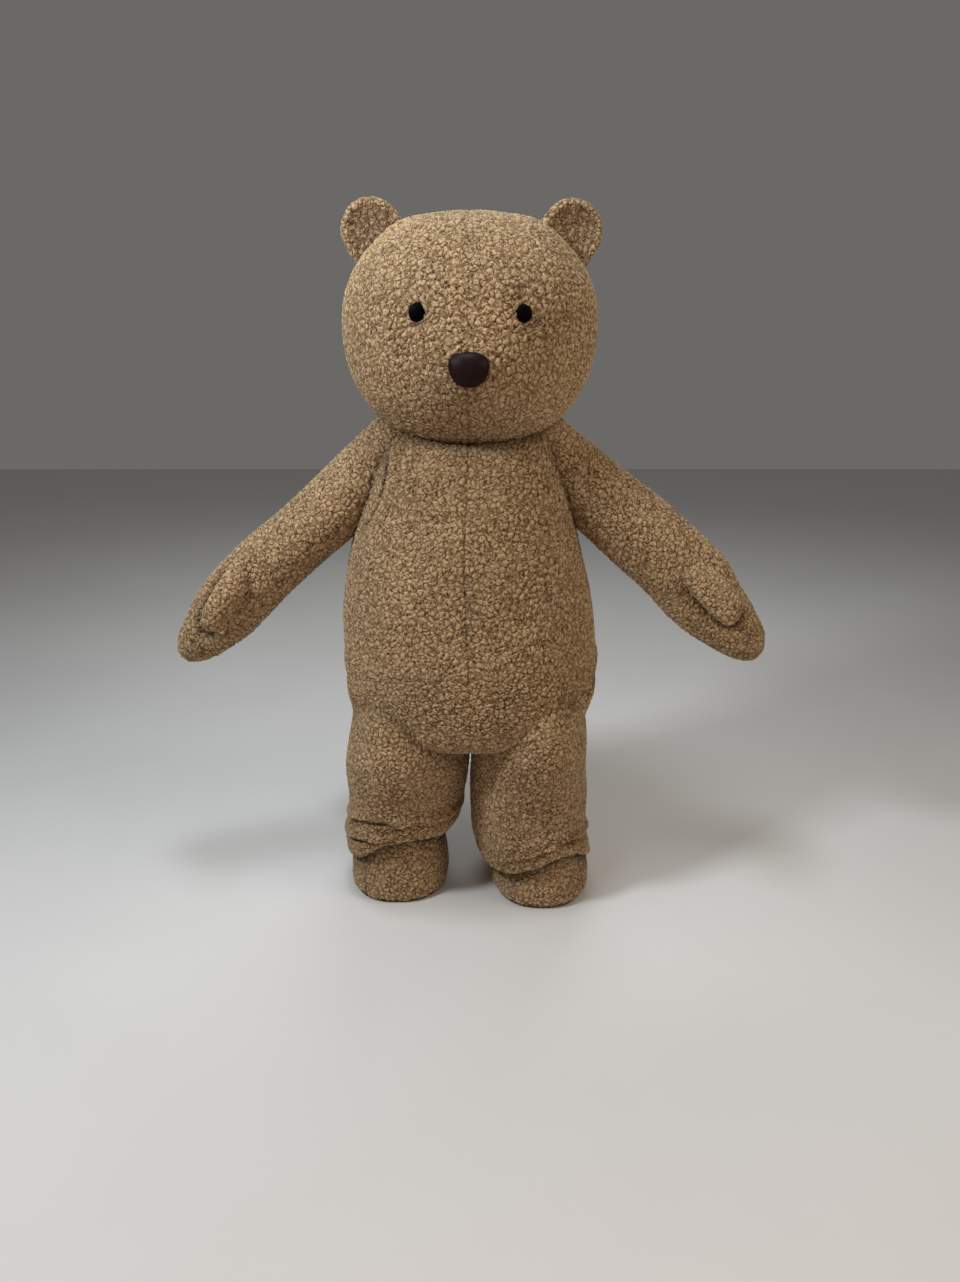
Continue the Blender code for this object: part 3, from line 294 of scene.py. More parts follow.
def nearest_on_line(points, line):
    """How far points lie from a chain of straight runs, which way, and how far along it."""
    best = np.full(points.shape[:-1], np.inf)
    offset, along = np.zeros(points.shape), np.zeros(best.shape)
    for number, (start, end) in enumerate(zip(line[:-1], line[1:])):
        run = end - start
        share = np.clip((points - start) @ run / run.dot(run), 0.0, 1.0)
        apart = points - start - share[..., None] * run
        distance = np.linalg.norm(apart, axis=-1)
        closer = distance < best
        best[closer], offset[closer] = distance[closer], apart[closer]
        along[closer] = (number + share[closer]) / (len(line) - 1)
    return best, offset, along


# ---------------- the pile's relief
def node(tree, kind, inputs=None, **settings):
    """A new node: its settings, and for each input a value or the socket that feeds it."""
    made = tree.nodes.new(kind)
    for key, value in settings.items():
        setattr(made, key, value)
    for key, value in (inputs or {}).items():
        if isinstance(value, bpy.types.NodeSocket):
            tree.links.new(value, made.inputs[key])
        else:
            made.inputs[key].default_value = value
    return made


def math_node(tree, operation, *values):
    return node(tree, "ShaderNodeMath", dict(enumerate(values)), operation=operation).outputs[0]


def vector_node(tree, operation, inputs):
    return node(tree, "ShaderNodeVectorMath", inputs, operation=operation).outputs[0]


def mapped(tree, value, start, end, low, high, smooth_step=False):
    """A value carried from one range to another, held at its ends."""
    ranges = {"Value": value, "From Min": start, "From Max": end, "To Min": low, "To Max": high}
    kind = "SMOOTHSTEP" if smooth_step else "LINEAR"
    return node(tree, "ShaderNodeMapRange", ranges, interpolation_type=kind).outputs["Result"]


def noise_node(tree, place, size, detail=2.0, distortion=0.0):
    return node(tree, "ShaderNodeTexNoise", {
        "Vector": place, "Scale": 1.0 / size, "Detail": detail, "Roughness": 0.5, "Distortion": distortion})


def swayed(tree, place, size, reach):
    """A place shifted by soft noise, so that what is drawn there loses its straight lines."""
    colour = noise_node(tree, place, size, detail=1.0).outputs["Color"]
    centred = vector_node(tree, "SUBTRACT", {0: colour, 1: (0.5, 0.5, 0.5)})
    return vector_node(tree, "ADD", {0: place, 1: vector_node(tree, "SCALE", {0: centred, "Scale": reach})})


def pile_height(tree, place):
    """How high the curly pile stands at a place: about 0 in its valleys and 1 on its tips."""
    nub = node(tree, "ShaderNodeTexVoronoi", {
        "Vector": swayed(tree, place, *NUB_SWAY), "Scale": 1.0 / NUB_SIZE}, feature="DISTANCE_TO_EDGE")
    winding = noise_node(tree, place, CREASE_SIZE, distortion=0.6).outputs[0]
    apart = math_node(tree, "ABSOLUTE", math_node(tree, "SUBTRACT", winding, 0.5))
    fibre = noise_node(tree, place, FIBRE_SIZE, detail=1.5, distortion=1.8).outputs[0]
    nub_share, curl_share, fibre_share = PILE_SHARES
    crowned = mapped(tree, nub.outputs["Distance"], 0.0, NUB_EDGE, 0.0, nub_share, smooth_step=True)
    curled = mapped(tree, apart, 0.0, CREASE_HALF, 0.0, curl_share, smooth_step=True)
    loose = mapped(tree, fibre, *NOISE_SPAN, -fibre_share, fibre_share)
    return math_node(tree, "ADD", math_node(tree, "ADD", crowned, curled), loose)


def make_relief():
    """A geometry node tree that stores the pile's height on the points it is given."""
    tree = bpy.data.node_groups.new("pile_relief", "GeometryNodeTree")
    for way in ("INPUT", "OUTPUT"):
        tree.interface.new_socket("Geometry", in_out=way, socket_type="NodeSocketGeometry")
    given = node(tree, "NodeGroupInput")
    place = node(tree, "GeometryNodeInputPosition")
    stored = node(tree, "GeometryNodeStoreNamedAttribute", {
        "Geometry": given.outputs[0], "Name": "nap",
        "Value": pile_height(tree, place.outputs[0])}, data_type="FLOAT", domain="POINT")
    node(tree, "NodeGroupOutput", {0: stored.outputs[0]})
    return tree


RELIEF = make_relief()


def read_nap(points):
    """The pile's height at each point, from the same nodes that colour it."""
    mesh = mesh_points("nap_places", points)
    places = add_object("nap_places", mesh)
    places.modifiers.new("relief", "NODES").node_group = RELIEF
    read = places.evaluated_get(bpy.context.evaluated_depsgraph_get())
    nap = np.zeros(len(points), dtype=np.float32)
    read.data.attributes["nap"].data.foreach_get("value", nap)
    bpy.data.objects.remove(places)
    bpy.data.meshes.remove(mesh)
    return nap.astype(float)


# ---------------- forms
class Grid:
    """A dense grid of points around a hollow: rows along it, columns around it from the front."""

    def __init__(self, points, first_pole=False, last_pole=False):
        self.points = points
        self.rows, self.around = points.shape[:2]
        self.first_pole, self.last_pole = first_pole, last_pole
        # shade is painted shade on the pile's colour, from 0 for none to 1 for the deepest
        self.shade, self.flatten = np.zeros((2, self.rows, self.around))
        self.inside = self.shade - 1.0
        self.normals = self.find_normals()

    def find_normals(self):
        around = np.roll(self.points, -1, axis=1) - np.roll(self.points, 1, axis=1)
        along = np.gradient(self.points, axis=0)
        normals = unit(np.cross(around, along))
        centres = self.points.mean(axis=1, keepdims=True)
        if np.sum(normals * (self.points - centres)) < 0.0:
            normals = -normals
        for flat, row, inner in ((self.first_pole, 0, 1), (self.last_pole, -1, -2)):
            if flat:
                normals[row] = unit(normals[inner].mean(axis=0))
        return normals

    def press(self, depth, shade=0.0, flatten=0.0):
        """Move the points in by `depth` along their normals, paint `shade` on their pile and flatten it."""
        self.points = self.points - depth[..., None] * self.normals
        self.normals = self.find_normals()
        self.darken(shade)
        self.flatten = np.maximum(self.flatten, flatten)

    def swell(self, place, rise, width):
        """Raise the cloth around a place (x, y, height), or press it in where `rise` is below 0."""
        apart = np.linalg.norm(self.points - np.array([place[0], place[1], up(place[2])]), axis=2)
        self.press(-rise * bell(apart, width))

    # painted shade: each point keeps the deepest shade painted on it
    def darken(self, shade):
        self.shade = np.maximum(self.shade, shade)


def dense(keys, count, tip=None, first_pole=False):
    """A grid read from key rings, evenly by ring number, and closed at a tip where it has one."""
    if tip is not None:
        keys = [*keys, np.broadcast_to(tip, keys[0].shape)]
    stations = np.arange(len(keys), dtype=float)
    rows = smooth(np.linspace(0.0, stations[-1], count), stations, np.array(keys))
    return Grid(rows, first_pole, tip is not None)


def even_angles(count):
    return np.arange(count) * (2.0 * math.pi / count)


def angles_for(girth):
    return even_angles(int(math.ceil(girth / GRID_SPACING / 20.0)) * 20)


def head_ring(reach, angles, above):
    side, ahead = oval(angles, HEAD_HALF_WIDTH, HEAD_FRONT, HEAD_BACK, HEAD_PLAN_POWER)
    span, power = HEAD_TOP if above else HEAD_BASE
    reach = np.broadcast_to(reach, angles.shape)
    height = HEAD_CENTRE_HEIGHT + span * (1.0 - np.minimum(reach, 1.0) ** power) ** (1.0 / power)
    return np.stack([HEAD_SHIFT + reach * side, -reach * ahead, up(height)], axis=1)


def muzzle(x, z):
    """How far the muzzle stands out of the head's front."""
    across, rise = (x - HEAD_SHIFT) / MUZZLE_HALF_WIDTH, (z - up(MUZZLE_HEIGHT)) / MUZZLE_HALF_HEIGHT
    return MUZZLE_STAND * np.exp(-(across**2 + rise**2))


def head_grid():
    angles = angles_for(HEAD_GIRTH)
    last_turn = math.pi - math.asin(HEAD_MOUTH_REACH ** (HEAD_BASE[1] / 2.0))
    rows = []
    for turn in np.linspace(0.0, last_turn, HEAD_ROWS):
        above = turn < 0.5 * math.pi
        power = (HEAD_TOP if above else HEAD_BASE)[1]
        rows.append(head_ring(max(math.sin(turn), 0.0) ** (2.0 / power), angles, above))
    grid = Grid(np.array(rows), first_pole=True)
    x, y, z = np.moveaxis(grid.points, 2, 0)
    grid.press(-np.where(y < 0.0, muzzle(x, z), 0.0))
    return grid


def body_grid():
    angles = angles_for(BODY_GIRTH)
    ahead = np.cos(angles)
    front, side, back = NECK_RING_REACH
    reach = side + (np.where(ahead > 0.0, front, back) - side) * ahead**2
    mouth = np.full(len(angles), NECK_MOUTH_REACH)
    keys = [head_ring(mouth + (reach - mouth) * share, angles, False) for share in (0.0, 0.5, 1.0)]
    keys = [ring - np.array([0.0, 0.0, REST_GAP]) for ring in keys]
    lowest = BODY["height"][-1]
    for height, shift, half_width, front, back in zip(*BODY.values()):
        across, forth = oval(angles, half_width, front, back, BODY_PLAN_POWER)
        fade = np.clip((SAG_TOP - height) / (SAG_TOP - BODY_LIP_HEIGHT), 0.0, 1.0)
        slant = np.clip((height - lowest) / (BODY_LIP_HEIGHT - lowest), 0.0, 1.0)
        sag = np.where(ahead > 0.0, BELLY_SAG, SEAT_SAG) * ahead**2 * slant
        sag = sag + BODY_BASE_SAG * (1.0 - slant)
        drop = sag * fade * fade * (3.0 - 2.0 * fade)
        keys.append(np.stack([shift + across, -forth, up(height) - drop], axis=1))
    return dense(keys, BODY_ROWS, tip=(0.0, 0.0, up(BODY_POLE_HEIGHT) - BODY_BASE_SAG))


def arm_frame(side):
    sign = SIDES[side]
    along = np.array([sign * math.cos(ARM_SLOPE), 0.0, -math.sin(ARM_SLOPE)])
    rise = np.array([sign * math.sin(ARM_SLOPE), 0.0, math.cos(ARM_SLOPE)])
    origin = np.array([sign * ARM_ORIGIN[0], 0.0, up(ARM_ORIGIN[1])])
    return origin, along, rise


def thumb_line(side):
    """The middles of a thumb's rings, where its solid has them."""
    data = THUMBS[side]
    return np.stack([SIDES[side] * data["x"], data["y"], up(data["height"])], axis=1)


def arm_grid(side):
    origin, along, rise = arm_frame(side)
    angles = angles_for(ARM_GIRTH)
    keys = []
    for place, lift_by, half_height, half_depth, forward in zip(*ARMS[side].values()):
        lift, ahead = oval(angles, half_height, half_depth, half_depth, ARM_PLAN_POWER)
        middle = origin + along * place + rise * lift_by + forward * AHEAD
        keys.append(middle + lift[:, None] * rise + ahead[:, None] * AHEAD)
    tip = origin + along * ARM_TIP + rise * lift_by + forward * AHEAD
    return dense(keys, ARM_ROWS, tip)


def thumb_grid(side):
    data, rise = THUMBS[side], arm_frame(side)[2]
    centres = thumb_line(side)
    heading = unit(np.gradient(centres, axis=0))
    centres = centres + rise * THUMB_FREE[side] * THUMB_SHOWN_SHIFT[side]
    centres[:, 1] -= THUMB_SHOWN_STAND[side] * np.linspace(0.0, 1.0, len(centres))
    angles = angles_for(THUMB_GIRTH)
    keys = []
    for centre, forward, half_width, half_depth in zip(
            centres, heading, data["half_width"], data["half_depth"]):
        sideways = unit(np.cross(forward, AHEAD))
        outward = np.cross(sideways, forward)
        side_step, out_step = oval(angles, half_width, half_depth, half_depth, 2.0)
        free = THUMB_FREE[side] * np.sign(sideways @ rise) * side_step / half_width
        out_step = out_step + THUMB_SHOWN_TILT[side] * free
        keys.append(centre + side_step[:, None] * sideways + out_step[:, None] * outward)
    return dense(keys, THUMB_ROWS, centres[-1] + heading[-1] * THUMB_TIP_REACH)


def foot_ring(side, height, angles, grow=0.0):
    data = FEET[side]
    height = np.broadcast_to(height, angles.shape)
    half_width, front, back = (smooth(height, data["height"], data[name]) + grow
                               for name in ("half_width", "front", "back"))
    side_step, ahead = oval(angles, half_width, front, back, FOOT_PLAN_POWER)
    x = SIDES[side] * FOOT_CENTRE[side] + side_step
    return np.stack([x, -ahead, up(height)], axis=1)


def hem_lift(side, height, angles):
    turns, heights = np.array(HEM_SHOWN[side]).T
    outward = np.degrees(np.arctan2(SIDES[side] * np.sin(angles), np.cos(angles)))
    hem = smooth(outward, turns, heights / 1000.0)
    lowest = LEGS[side]["height"][-1]
    fade = np.clip((HEM_TILT_TOP - height) / (HEM_TILT_TOP - lowest), 0.0, 1.0)
    return (hem - lowest) * fade


def leg_grid(side):
    angles = angles_for(LEG_GIRTH)
    keys = []
    for height, inner, outer, front, back in zip(*LEGS[side].values()):
        side_step, ahead = oval(angles, 0.5 * (outer - inner), front, back, LEG_PLAN_POWER)
        x = SIDES[side] * 0.5 * (inner + outer) + side_step
        keys.append(np.stack([x, -ahead, up(height) + hem_lift(side, height, angles)], axis=1))
    turned = height + hem_lift(side, height, angles) + HEM_TURN_RISE
    keys.append(foot_ring(side, turned, angles, grow=HEM_STAND[side]))
    return dense(keys, LEG_ROWS)


def foot_grid(side):
    angles = angles_for(FOOT_GIRTH)
    return dense([foot_ring(side, height, angles) for height in FEET[side]["height"][::-1]], FOOT_ROWS)


# ---------------- where forms meet
def read_grid(values, rows, columns):
    """Values of a closed grid at fractional rows and columns."""
    last = values.shape[0] - 1
    around = values.shape[1]
    row = np.clip(np.floor(rows).astype(int), 0, last - 1)
    column = np.floor(columns).astype(int)
    down, across = rows - row, columns - column
    if values.ndim == 3:
        down, across = down[..., None], across[..., None]
    here, ahead = column % around, (column + 1) % around
    top = values[row, here] * (1.0 - across) + values[row, ahead] * across
    low = values[row + 1, here] * (1.0 - across) + values[row + 1, ahead] * across
    return top * (1.0 - down) + low * down


def coarse_places(grid):
    """Rows and columns spread over a grid, further apart than its own."""
    step = COVER_SPACING / GRID_SPACING
    down, across = max(4, int(grid.rows / step)), max(8, int(grid.around / step))
    rows = np.linspace(0.0, grid.rows - 1.0, down)
    columns = np.arange(across) * grid.around / across
    return np.meshgrid(rows, columns, indexing="ij")


def surface_of(grid):
    """A tree of a grid's faces for finding nearest places, with its normals outward."""
    rows, columns = coarse_places(grid)
    points = read_grid(grid.points, rows, columns).reshape(-1, 3)
    normals = read_grid(grid.normals, rows, columns).reshape(-1, 3)
    ids = np.arange(rows.size).reshape(rows.shape)
    ring = np.roll(ids, -1, axis=1)
    quads = np.stack([ids[:-1], ids[1:], ring[1:], ring[:-1]], axis=-1).reshape(-1, 4)
    facing = np.cross(points[quads[:, 2]] - points[quads[:, 0]], points[quads[:, 3]] - points[quads[:, 1]])
    if np.sum(facing * normals[quads[:, 0]]) < 0.0:
        quads = quads[:, ::-1]
    return BVHTree.FromPolygons(points.tolist(), quads.tolist())


def depth_inside(points, surface):
    """How deep points lie inside a form, and below 0 how far outside, to COVER_REACH at most."""
    depth = np.zeros(len(points))
    for number, point in enumerate(points.tolist()):
        place, normal, _, distance = surface.find_nearest(point)
        within = normal.dot(Vector(point) - place) < 0.0
        depth[number] = distance if within else max(-distance, -COVER_REACH)
    return depth


def meet(grid, others, shade=0.6, width=0.011):
    """Note how deep a form's cloth lies inside others, and paint shade on it where it runs under them."""
    rows, columns = coarse_places(grid)
    points = read_grid(grid.points, rows, columns).reshape(-1, 3)
    fine_rows, fine_columns = np.indices(grid.shade.shape).astype(float)
    fine_rows *= (rows.shape[0] - 1.0) / (grid.rows - 1.0)
    fine_columns *= columns.shape[1] / grid.around
    for other in others:
        depth = depth_inside(points, surface_of(other)).reshape(rows.shape)
        grid.inside = np.maximum(grid.inside, read_grid(depth, fine_rows, fine_columns))
    grid.darken(shade * bell(np.minimum(grid.inside, 0.0), width))


# ---------------- panels cut from a grid
def even_rows(grid):
    """Row numbers, as fractions, that lie an even distance apart along the grid."""
    run = steps(grid.points)
    length = running(0.5 * (run.mean(axis=1) + run.max(axis=1)))
    count = max(2, int(round(length[-1] / POINT_SPACING)) + 1)
    return np.interp(np.linspace(0.0, length[-1], count), length, np.arange(len(length)))


def stitch(first, second):
    """Triangles between two rows of points that run over the same span, any number in each.

    Each row is the number of its first point and how many points it has.
    """
    faces = []
    for row, other, tie in ((first, second, "left"), (second, first, "right")):
        (start, count), (other_start, other_count) = row, other
        if count > 1:
            places = np.linspace(0.0, 1.0, count)
            other_places = np.linspace(0.0, 1.0, other_count) if other_count > 1 else np.array([0.5])
            met = np.searchsorted(other_places[1:], places[1:], side=tie)
            ends = [start + np.arange(count - 1), start + np.arange(1, count)]
            faces.append(np.stack([*(ends if row is first else ends[::-1]),
                                   other_start + np.minimum(met, other_count - 1)], axis=1))
    return np.concatenate(faces)


def cut_size(grid, reach):
    """The longest runs of shown cloth across and along some columns of a grid: its flat size."""
    reach = reach % grid.around
    points, shown = grid.points[:, reach], grid.inside[:, reach] < HIDE_DEPTH
    across, along = steps(points, 1) * shown[:, 1:], steps(points) * shown[1:]
    return float(across.sum(axis=1).max()), float(along.sum(axis=0).max())


class Panel:
    """Points and triangles of one piece of cloth, cut from a grid between two columns."""

    KEPT = ("points", "normals", "shade", "flatten")

    def __init__(self, grid, first_column, last_column):
        rows, columns, spans = [], [], []
        start = 0
        reach = np.arange(first_column, last_column + 1)
        for row in even_rows(grid):
            line = read_grid(grid.points, np.full(len(reach), row), reach.astype(float))
            length = running(steps(line))
            count = int(round(length[-1] / POINT_SPACING)) + 1
            if count == 1:
                columns.append(np.array([0.5 * (first_column + last_column)]))
            else:
                columns.append(np.interp(np.linspace(0.0, length[-1], count), length, reach))
            rows.append(np.full(count, row))
            spans.append((start, count))
            start += count
        rows, columns = np.concatenate(rows), np.concatenate(columns)
        for name in self.KEPT:
            setattr(self, name, read_grid(getattr(grid, name), rows, columns))
        self.normals = unit(self.normals)
        faces = np.concatenate([stitch(a, b) for a, b in zip(spans[:-1], spans[1:])])
        if np.sum(self.crossed(faces) * self.normals[faces[:, 0]]) < 0.0:
            faces = faces[:, ::-1]
        shown = read_grid(grid.inside, rows, columns) < HIDE_DEPTH
        self.width, self.length = cut_size(grid, reach)
        used, faces = np.unique(faces[shown[faces].any(axis=1)], return_inverse=True)
        self.faces = faces.reshape(-1, 3)
        for name in self.KEPT:
            setattr(self, name, getattr(self, name)[used])

    def crossed(self, faces):
        a, b, c = (self.points[faces[:, corner]] for corner in range(3))
        return np.cross(b - a, c - a)


def add_object(name, data):
    obj = bpy.data.objects.new(name, data)
    bpy.context.scene.collection.objects.link(obj)
    return obj


def mesh_points(name, points):
    mesh = bpy.data.meshes.new(name)
    mesh.vertices.add(len(points))
    mesh.vertices.foreach_set("co", np.ascontiguousarray(points, dtype=np.float32).ravel())
    return mesh


def new_mesh(name, points, faces, material, attributes=None):
    """A smooth object from points and triangles, with values or vectors kept on its points."""
    mesh = mesh_points(name, points)
    mesh.loops.add(3 * len(faces))
    mesh.loops.foreach_set("vertex_index", np.ascontiguousarray(faces, dtype=np.int32).ravel())
    mesh.polygons.add(len(faces))
    mesh.polygons.foreach_set("loop_start", np.arange(0, 3 * len(faces), 3, dtype=np.int32))
    mesh.update(calc_edges=True)
    mesh.validate()
    for key, values in (attributes or {}).items():
        values = np.ascontiguousarray(values, dtype=np.float32)
        kind, field = ("FLOAT", "value") if values.ndim == 1 else ("FLOAT_VECTOR", "vector")
        mesh.attributes.new(key, kind, "POINT").data.foreach_set(field, values.ravel())
    mesh.shade_smooth()
    mesh.materials.append(material)
    return add_object(name, mesh)


def fleece_mesh(name, panel, material, height=NUB_HEIGHT):
    """A panel with its pile raised; its flat places and its painted shade stay on it for the material to
    read.
    """
    nap = np.clip(read_nap(panel.points), *NAP_RANGE)
    tall = height * (1.0 - FLATTENING * panel.flatten)
    stand = nap * tall - NUB_SET_BACK * height / NUB_HEIGHT
    # fold holds the painted shade, which the material darkens the colour with
    return new_mesh(name, panel.points + panel.normals * stand[:, None], panel.faces, material,
                    {"rest": panel.points, "fold": panel.shade})


def mount(obj, slot, *cad_nodes):
    """Fasten a piece to the costume, in the place of the CAD nodes that it stands for."""
    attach(obj, "costume")
    if cad_nodes:
        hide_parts(*cad_nodes)


# ---------------- folds and seams
def nearest_on_fold(grid, line, count=24):
    """How far a grid's points are from a curve through places in millimetres (x, y, height).

    Also which way they lie from it, and how much of the fold is left there, which fades at its ends.
    """
    places = np.array(line) / 1000.0
    places[:, 2] = up(places[:, 2])
    stations = np.arange(len(places), dtype=float)
    curve = smooth(np.linspace(0.0, stations[-1], count), stations, places)
    apart, offset, along = nearest_on_line(grid.points, curve)
    return apart, offset, ramp(along, 0.0, 0.10) * ramp(along, 1.0, 0.88)


def groove(grid, line, depth, width, shade=0.5, swell=0.0):
    """A soft fold pressed in along a curve, with painted shade in it and the cloth standing up on both
    sides of it.
    """
    apart, _, faded = nearest_on_fold(grid, line)
    near = bell(apart, width) * faded
    beside = bell(apart, 3.0 * width) * faded - near
    grid.press(depth * near - swell * np.maximum(beside, 0.0), shade * near)


def lap(grid, line, over, lip, sink, width, shade=0.8, reach=0.0):
    """Cloth that laps over along a curve: proud on its `over` side, sunk on the other with painted shadow
    there.
    """
    apart, offset, faded = nearest_on_fold(grid, line)
    above = offset @ np.array(over) > 0.0
    proud = lip * bell(apart - 0.7 * width, 1.2 * width)
    sunk = sink * bell(np.maximum(apart - reach, 0.0), 1.3 * width)
    # painted shadow under the lap, and a little painted shade at its edge above
    dark = shade * np.where(above, 0.4 * bell(apart, 0.25 * width), bell(apart, 0.9 * width))
    grid.press(faded * np.where(above, -proud, sunk), faded * dark, 0.8 * faded * bell(apart, 0.6 * width))


def seam(grid, column, depth=0.0016, width=0.005, shade=0.25):
    """The soft groove along a sewn seam, which follows one column of the grid."""
    apart = np.linalg.norm(grid.points - grid.points[:, column:column + 1], axis=2)
    girth = np.linalg.norm(grid.points - np.roll(grid.points, grid.around // 2, axis=1), axis=2)
    near = bell(apart, width) * ramp(girth, 0.02, 0.10)
    grid.press(depth * near, shade * near, 0.6 * near)


def quarters(grid):
    return 0, grid.around // 4, grid.around // 2, 3 * grid.around // 4, grid.around


def sew_tube(grid, laps):
    """The two seams of an arm or a leg, and the places where its cloth laps over."""
    for column in quarters(grid)[1:4:2]:
        seam(grid, column)
    for fold in laps:
        lap(grid, *fold)


CROWN_ROOTS = ((-0.155, -0.020, 1.735), (0.160, -0.020, 1.735))   # where the crown rises to the ears
CROWN_RISE, CROWN_REACH = 0.010, 0.060
EYE_DIMPLE = (0.0060, 0.027)   # how far the cloth goes in around an eye, and its reach
EYE_RIM = (0.0042, 0.0195, 0.0055)   # the nap that stands up about it: rise, radius, width
# painted shade in the hollow round an eye: strength and reach
EYE_SHADE = (0.6, 0.017)
EYE_NARROWING = 0.85   # how much taller than wide all that is
NOSE_DIMPLE = (0.004, 0.042)
NOSE_SHADE = (0.55, 0.032, 0.009)   # painted shade round the nose: depth, radius, width
NOSE_WIDENING = 1.15
BELLY_HOLLOW = ((0.165, -0.270, 0.535), -0.007, 0.050)   # place, rise, reach: over the left leg
FORK_SWELL, FORK_REACH = 0.0090, (0.035, 0.37, 0.16)   # the legs' rise to each other: across, height, reach
HEM_ROLL, HEM_ROLL_WIDTH = 0.0080, 0.010   # the hem's rounded edge
HEM_SHADE_TOP, HEM_SHADE_WIDTH = 0.018, 0.028   # the painted shadow on the foot, below the hem's edge
THIGH_SWELL = ((0.165, -0.262, 0.530), 0.006, 0.085)   # the left thigh, full under that hollow
OVER_UP = (0.0, 0.0, 1.0)
BODY_GROOVES = (   # line, depth, width, shade, swell
    (((-184, -75, 1290), (-189, -95, 1245), (-195, -118, 1205), (-203, -134, 1157), (-219, -138, 1103),
     (-251, -120, 1051), (-274, -95, 1020)), 0.01, 0.0065, 1.0, 0.0),
    (((-168, -108, 1280), (-174, -125, 1235), (-181, -138, 1183), (-190, -150, 1133),
     (-206, -154, 1088), (-236, -142, 1046)), -0.012, 0.007, 0.0, 0.0),
    (((-150, -125, 1265), (-155, -140, 1224), (-163, -154, 1172), (-173, -164, 1130),
     (-190, -170, 1085), (-215, -168, 1045)), 0.0065, 0.0065, 0.8, 0.0015),
    (((-118, -150, 1262), (-124, -160, 1225), (-128, -170, 1190)), 0.0035, 0.009, 0.35, 0.001),
    (((184, -120, 1278), (194, -120, 1235), (200, -125, 1205)), 0.005, 0.008, 0.55, 0.002),
    (((190, -140, 1200), (194, -150, 1165), (196, -160, 1130)), 0.005, 0.01, 0.5, 0.002),
    (((148, -140, 1270), (150, -155, 1235), (152, -165, 1205)), 0.0035, 0.008, 0.35, 0.001),
    (((27, -280, 546), (69, -276, 541), (114, -266, 540)), 0.004, 0.005, 0.6, 0.0015),
)
BODY_LAPS = (   # line, over, lip, sink, width, shade
    (((336, 60, 706), (342, -20, 694), (328, -88, 664), (312, -127, 637), (292, -160, 613),
     (263, -192, 595), (229, -219, 572)), OVER_UP, 0.006, 0.012, 0.008, 0.8, 0.04),
    (((-336, 60, 704), (-342, -20, 692), (-330, -90, 662), (-303, -137, 622), (-268, -180, 580)),
     OVER_UP, 0.004, 0.009, 0.008, 0.65, 0.036),
)
LEG_LAPS = {
    "right": (
        (((-350, 60, 205), (-348, -20, 214), (-327, -101, 231), (-303, -140, 250), (-276, -173, 264),
         (-231, -194, 269), (-195, -203, 262), (-163, -203, 246)), OVER_UP, 0.009, 0.008, 0.0085, 1.0),
        (((-350, 60, 155), (-352, -20, 164), (-336, -100, 177), (-308, -148, 194), (-278, -176, 206),
         (-240, -197, 214), (-205, -206, 220)), OVER_UP, 0.009, 0.008, 0.0085, 1.0),
    ),
    "left": (
        (((330, 60, 150), (333, -40, 172), (300, -147, 205), (254, -199, 212), (213, -211, 202),
         (160, -221, 184), (104, -199, 157), (60, -159, 138)), OVER_UP, 0.008, 0.008, 0.008, 1.0),
    ),
}
ARM_LAPS = {
    "right": (
        (((-738, -62, 770), (-730, -75, 742), (-712, -79, 717)),
         (-1.0, 0.0, 0.5), 0.003, 0.004, 0.007, 0.6),
    ),
    "left": (),
}


def rounded(apart, height, width):
    return height * bell(apart, width)


def ringed(apart, height, radius, width):
    return height * bell(apart - radius, width)


def shape_head(grid):
    for root in CROWN_ROOTS:
        grid.swell(root, CROWN_RISE, CROWN_REACH)
    for column in quarters(grid)[:4]:
        seam(grid, column, 0.0010, 0.005, 0.2)
    x, y, z = np.moveaxis(grid.points, 2, 0)
    front = y < 0.0
    # hollows round the eyes and the nose, with painted shade in them
    for eye, height in EYE_SHOWN:
        apart = np.hypot(x - eye, EYE_NARROWING * (z - up(height)))
        dimple = rounded(apart, *EYE_DIMPLE) - ringed(apart, *EYE_RIM)
        grid.press(front * dimple, front * rounded(apart, *EYE_SHADE))
    apart = np.hypot((x - HEAD_SHIFT) / NOSE_WIDENING, z - up(NOSE_HEIGHT))
    shade = ringed(np.maximum(apart, NOSE_SHADE[1]), *NOSE_SHADE)
    grid.press(front * rounded(apart, *NOSE_DIMPLE), front * shade)


def shape_body(grid):
    starts = quarters(grid)
    upper = ramp(grid.points[..., 2], up(0.66), up(0.86))
    seam(grid, starts[0], 0.0022, 0.0032, 0.15 + 0.4 * upper)
    for column in (starts[1], starts[3]):
        seam(grid, column)
    grid.swell(*BELLY_HOLLOW)
    for fold in BODY_GROOVES:
        groove(grid, *fold)
    for fold in BODY_LAPS:
        lap(grid, *fold)
    x, y, z = np.moveaxis(grid.points, 2, 0)
    # a dip beside the zip's gap, above its foot, with painted shade in it
    by_zip = (y > 0.0) * ramp(z, up(ZIP_FOOT_HEIGHT) - 0.02, up(ZIP_FOOT_HEIGHT))
    near = by_zip * bell(np.maximum(np.abs(x) - ZIP_GAP_HALF, 0.0), 0.006)
    grid.press(0.0022 * near, 0.25 * near, 0.8 * near)


